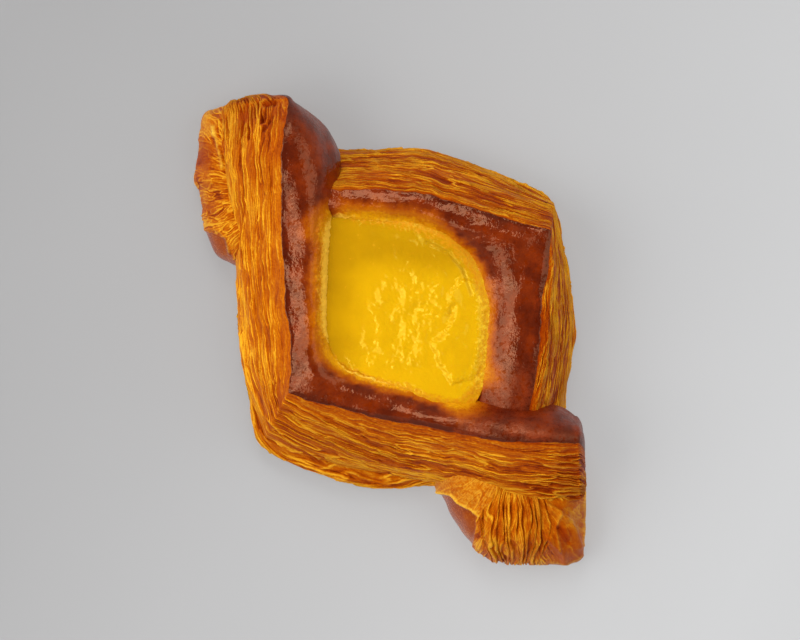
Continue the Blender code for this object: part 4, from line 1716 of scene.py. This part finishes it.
RIGHT_TIP_MARKS = (
    Mark(Patch(((9.0, -34.0), (26.4, -34.0), (25.2, -40.6), (21.4, -44.2), (19.6, -43.0), (16.6, -41.4),
                (15.2, -39.5), (9.0, -39.2)), 0.5, 0.45), height=0.45, calm=0.85, pale=0.28, tone=0.05),
    Mark(Stroke(((11.8, -39.0), (15.2, -39.5), (16.7, -41.5), (19.7, -43.1), (21.4, -44.6)), 0.38),
         height=0.5, calm=1.0, pale=0.45, tone=0.3),
    Mark(Patch(((8.0, -39.2), (15.2, -39.9), (16.8, -42.0), (20.6, -44.6), (20.6, -47.6), (19.8, -52.4),
                (20.5, -58.0), (8.0, -56.0)), 0.40), calm=1.0, glaze=1.0, height=-0.25),
    Mark(Patch(((37.8, -41.2), (49.0, -40.4), (49.0, -58.0), (39.8, -58.0), (38.6, -52.0),
                (38.8, -46.0)), 0.8, 0.6),
         calm=0.75, bake=0.34, tone=0.02),
    Mark(Stroke(((38.6, -43.0), (43.4, -45.8), (45.6, -52.0)), 0.8), height=0.9, calm=1.0, tone=0.14),
    Mark(Stroke(((37.8, -41.6), (41.0, -43.4), (39.8, -47.6), (40.9, -52.6)), 0.35),
         height=0.5, tone=0.20, pale=0.22),
    Mark(Patch(((42.0, -43.0), (46.2, -42.0), (46.4, -49.0), (43.8, -46.6)), 0.7, 0.9),
         tone=0.20, height=-0.3),
    Mark(Patch(((41.0, -46.0), (43.4, -48.6), (42.4, -52.0), (40.6, -50.0)), 0.6, 0.6), bake=0.5, tone=-0.08),
    Mark(Stroke(((38.4, -50.0), (41.6, -53.4), (42.4, -56.4)), 0.8),
         height=0.8, calm=1.0, tone=0.05, bake=0.2),
    # Painted shade: this groove is painted darker where shade falls in it.
    Mark(Stroke(((40.6, -47.6), (42.8, -51.0)), 0.7), height=-0.7, tone=-0.3, bake=0.3),
    Mark(Stroke(((39.0, -56.0), (43.6, -56.0), (46.2, -54.4)), 0.45), height=0.3, pale=0.35, calm=0.6),
    Mark(Stroke(((46.6, -52.0), (47.0, -44.0), (46.4, -36.0)), 0.35), height=0.35, tone=0.45),
    Mark(Patch(((27.4, -36.0), (30.6, -36.0), (31.4, -44.0), (30.2, -50.0), (28.0, -44.0)), 0.8, 0.3),
         tone=0.20),
    Mark(Patch(((31.6, -38.0), (38.6, -38.0), (38.6, -54.0), (32.4, -54.0)), 1.2, 0.6),
         bake=0.35, tone=-0.04),
)


def main() -> None:
    """Build every piece in order."""
    logging.basicConfig(level=logging.INFO, format="%(name)s: %(message)s")
    finishes = Finishes()
    BaseLayer().build(finishes)
    DoughRoll(
        "lower_strip", LOWER_STRIP, LOWER_CORNER, Layering(seed=11, pitch=1.15, run=16.0, sway=1.0),
        granular=1.0, loose=(0.3, 0.5),
        # The lower strip's top and right faces are painted more baked, partly as painted shade.
        bakes_and_shades=((0.0, 0.58), (0.25, 0.64), (0.52, 0.58), (0.60, 0.62), (1.0, 0.60)),
        crisp=((0.0, 1.2, -0.08), (0.48, 1.3, -0.10), (0.58, 1.8, -0.19), (1.0, 1.8, -0.19)),
        overs=((0.0, 0.0), (0.54, 0.0), (0.66, -2.0), (0.80, -1.8), (1.0, -1.6)),
        crowns=((0.0, 0.16, 1.3, 2.6), (0.45, 0.15, 1.3, 2.6), (0.58, 0.07, 1.0, 1.9), (1.0, 0.09, 1.0, 2.0)),
    ).build(finishes)
    DoughRoll(
        "upper_strip", UPPER_STRIP, UPPER_CORNER, Layering(seed=4), granular=4.6,
        # The upper strip's left face, turned to the light, is painted least baked and its bottom face more,
        # partly as painted light and shade.
        bakes_and_shades=(
            (0.0, 0.35), (0.08, 0.30), (0.18, 0.02), (0.46, 0.06), (0.55, 0.40), (0.72, 0.28),
            (1.0, 0.42),
        ),
        loose=(0.75, 0.75), slants=((0.0, 0.0), (0.52, 0.0), (0.72, 5.5), (1.0, 7.0)),
        overs=((0.52, 0.0), (0.60, 0.6), (0.69, 1.8), (0.80, 1.4), (0.90, 0.4), (1.0, 0.0)),
        crowns=(
            (0.0, 0.05, 1.0, 2.4), (0.13, 0.07, 1.2, 2.6), (0.21, 0.20, 2.0, 3.0), (0.38, 0.22, 2.0, 3.1),
            (0.46, 0.24, 1.7, 3.1), (0.56, 0.11, 1.0, 2.1), (0.64, 0.08, 1.0, 1.9), (0.68, 0.0, 1.0, 1.5),
            (0.78, 0.0, 1.0, 1.5), (0.82, 0.08, 1.0, 1.9), (1.0, 0.12, 1.0, 2.2),
        ),
        crisp=(
            (0.0, 1.1, -0.02), (0.14, 0.85, 0.0), (0.20, 0.70, 0.03), (0.34, 0.70, 0.0), (0.46, 0.80, -0.04),
            (0.55, 1.0, -0.06), (1.0, 1.25, -0.07),
        ),
        marks=UPPER_MARKS, ring_step=0.44,
    ).build(finishes)
    FoldedTip(
        "tip_upper_left", TIP_UPPER_LEFT, apex=(-22.0, 34.0), top=15.2,
        layering=Layering(seed=21, pitch=1.25, run=8.0, open_depth=0.3), liveliness=0.6,
        marks=LEFT_TIP_MARKS,
    ).build(finishes)
    FoldedTip(
        "tip_lower_right", TIP_LOWER_RIGHT, apex=(30.0, -28.0), top=16.6,
        layering=Layering(seed=8, pitch=1.6, run=12.0), liveliness=0.8, marks=RIGHT_TIP_MARKS,
        petals=Petals(first=238.0, last=303.0, count=13, begin=13.0, depth=1.0, hook=0.62),
        spokes=700, rings=125,
    ).build(finishes)
    CustardPool().build(finishes)
    Studio().build()


if __name__ == "__main__":
    main()
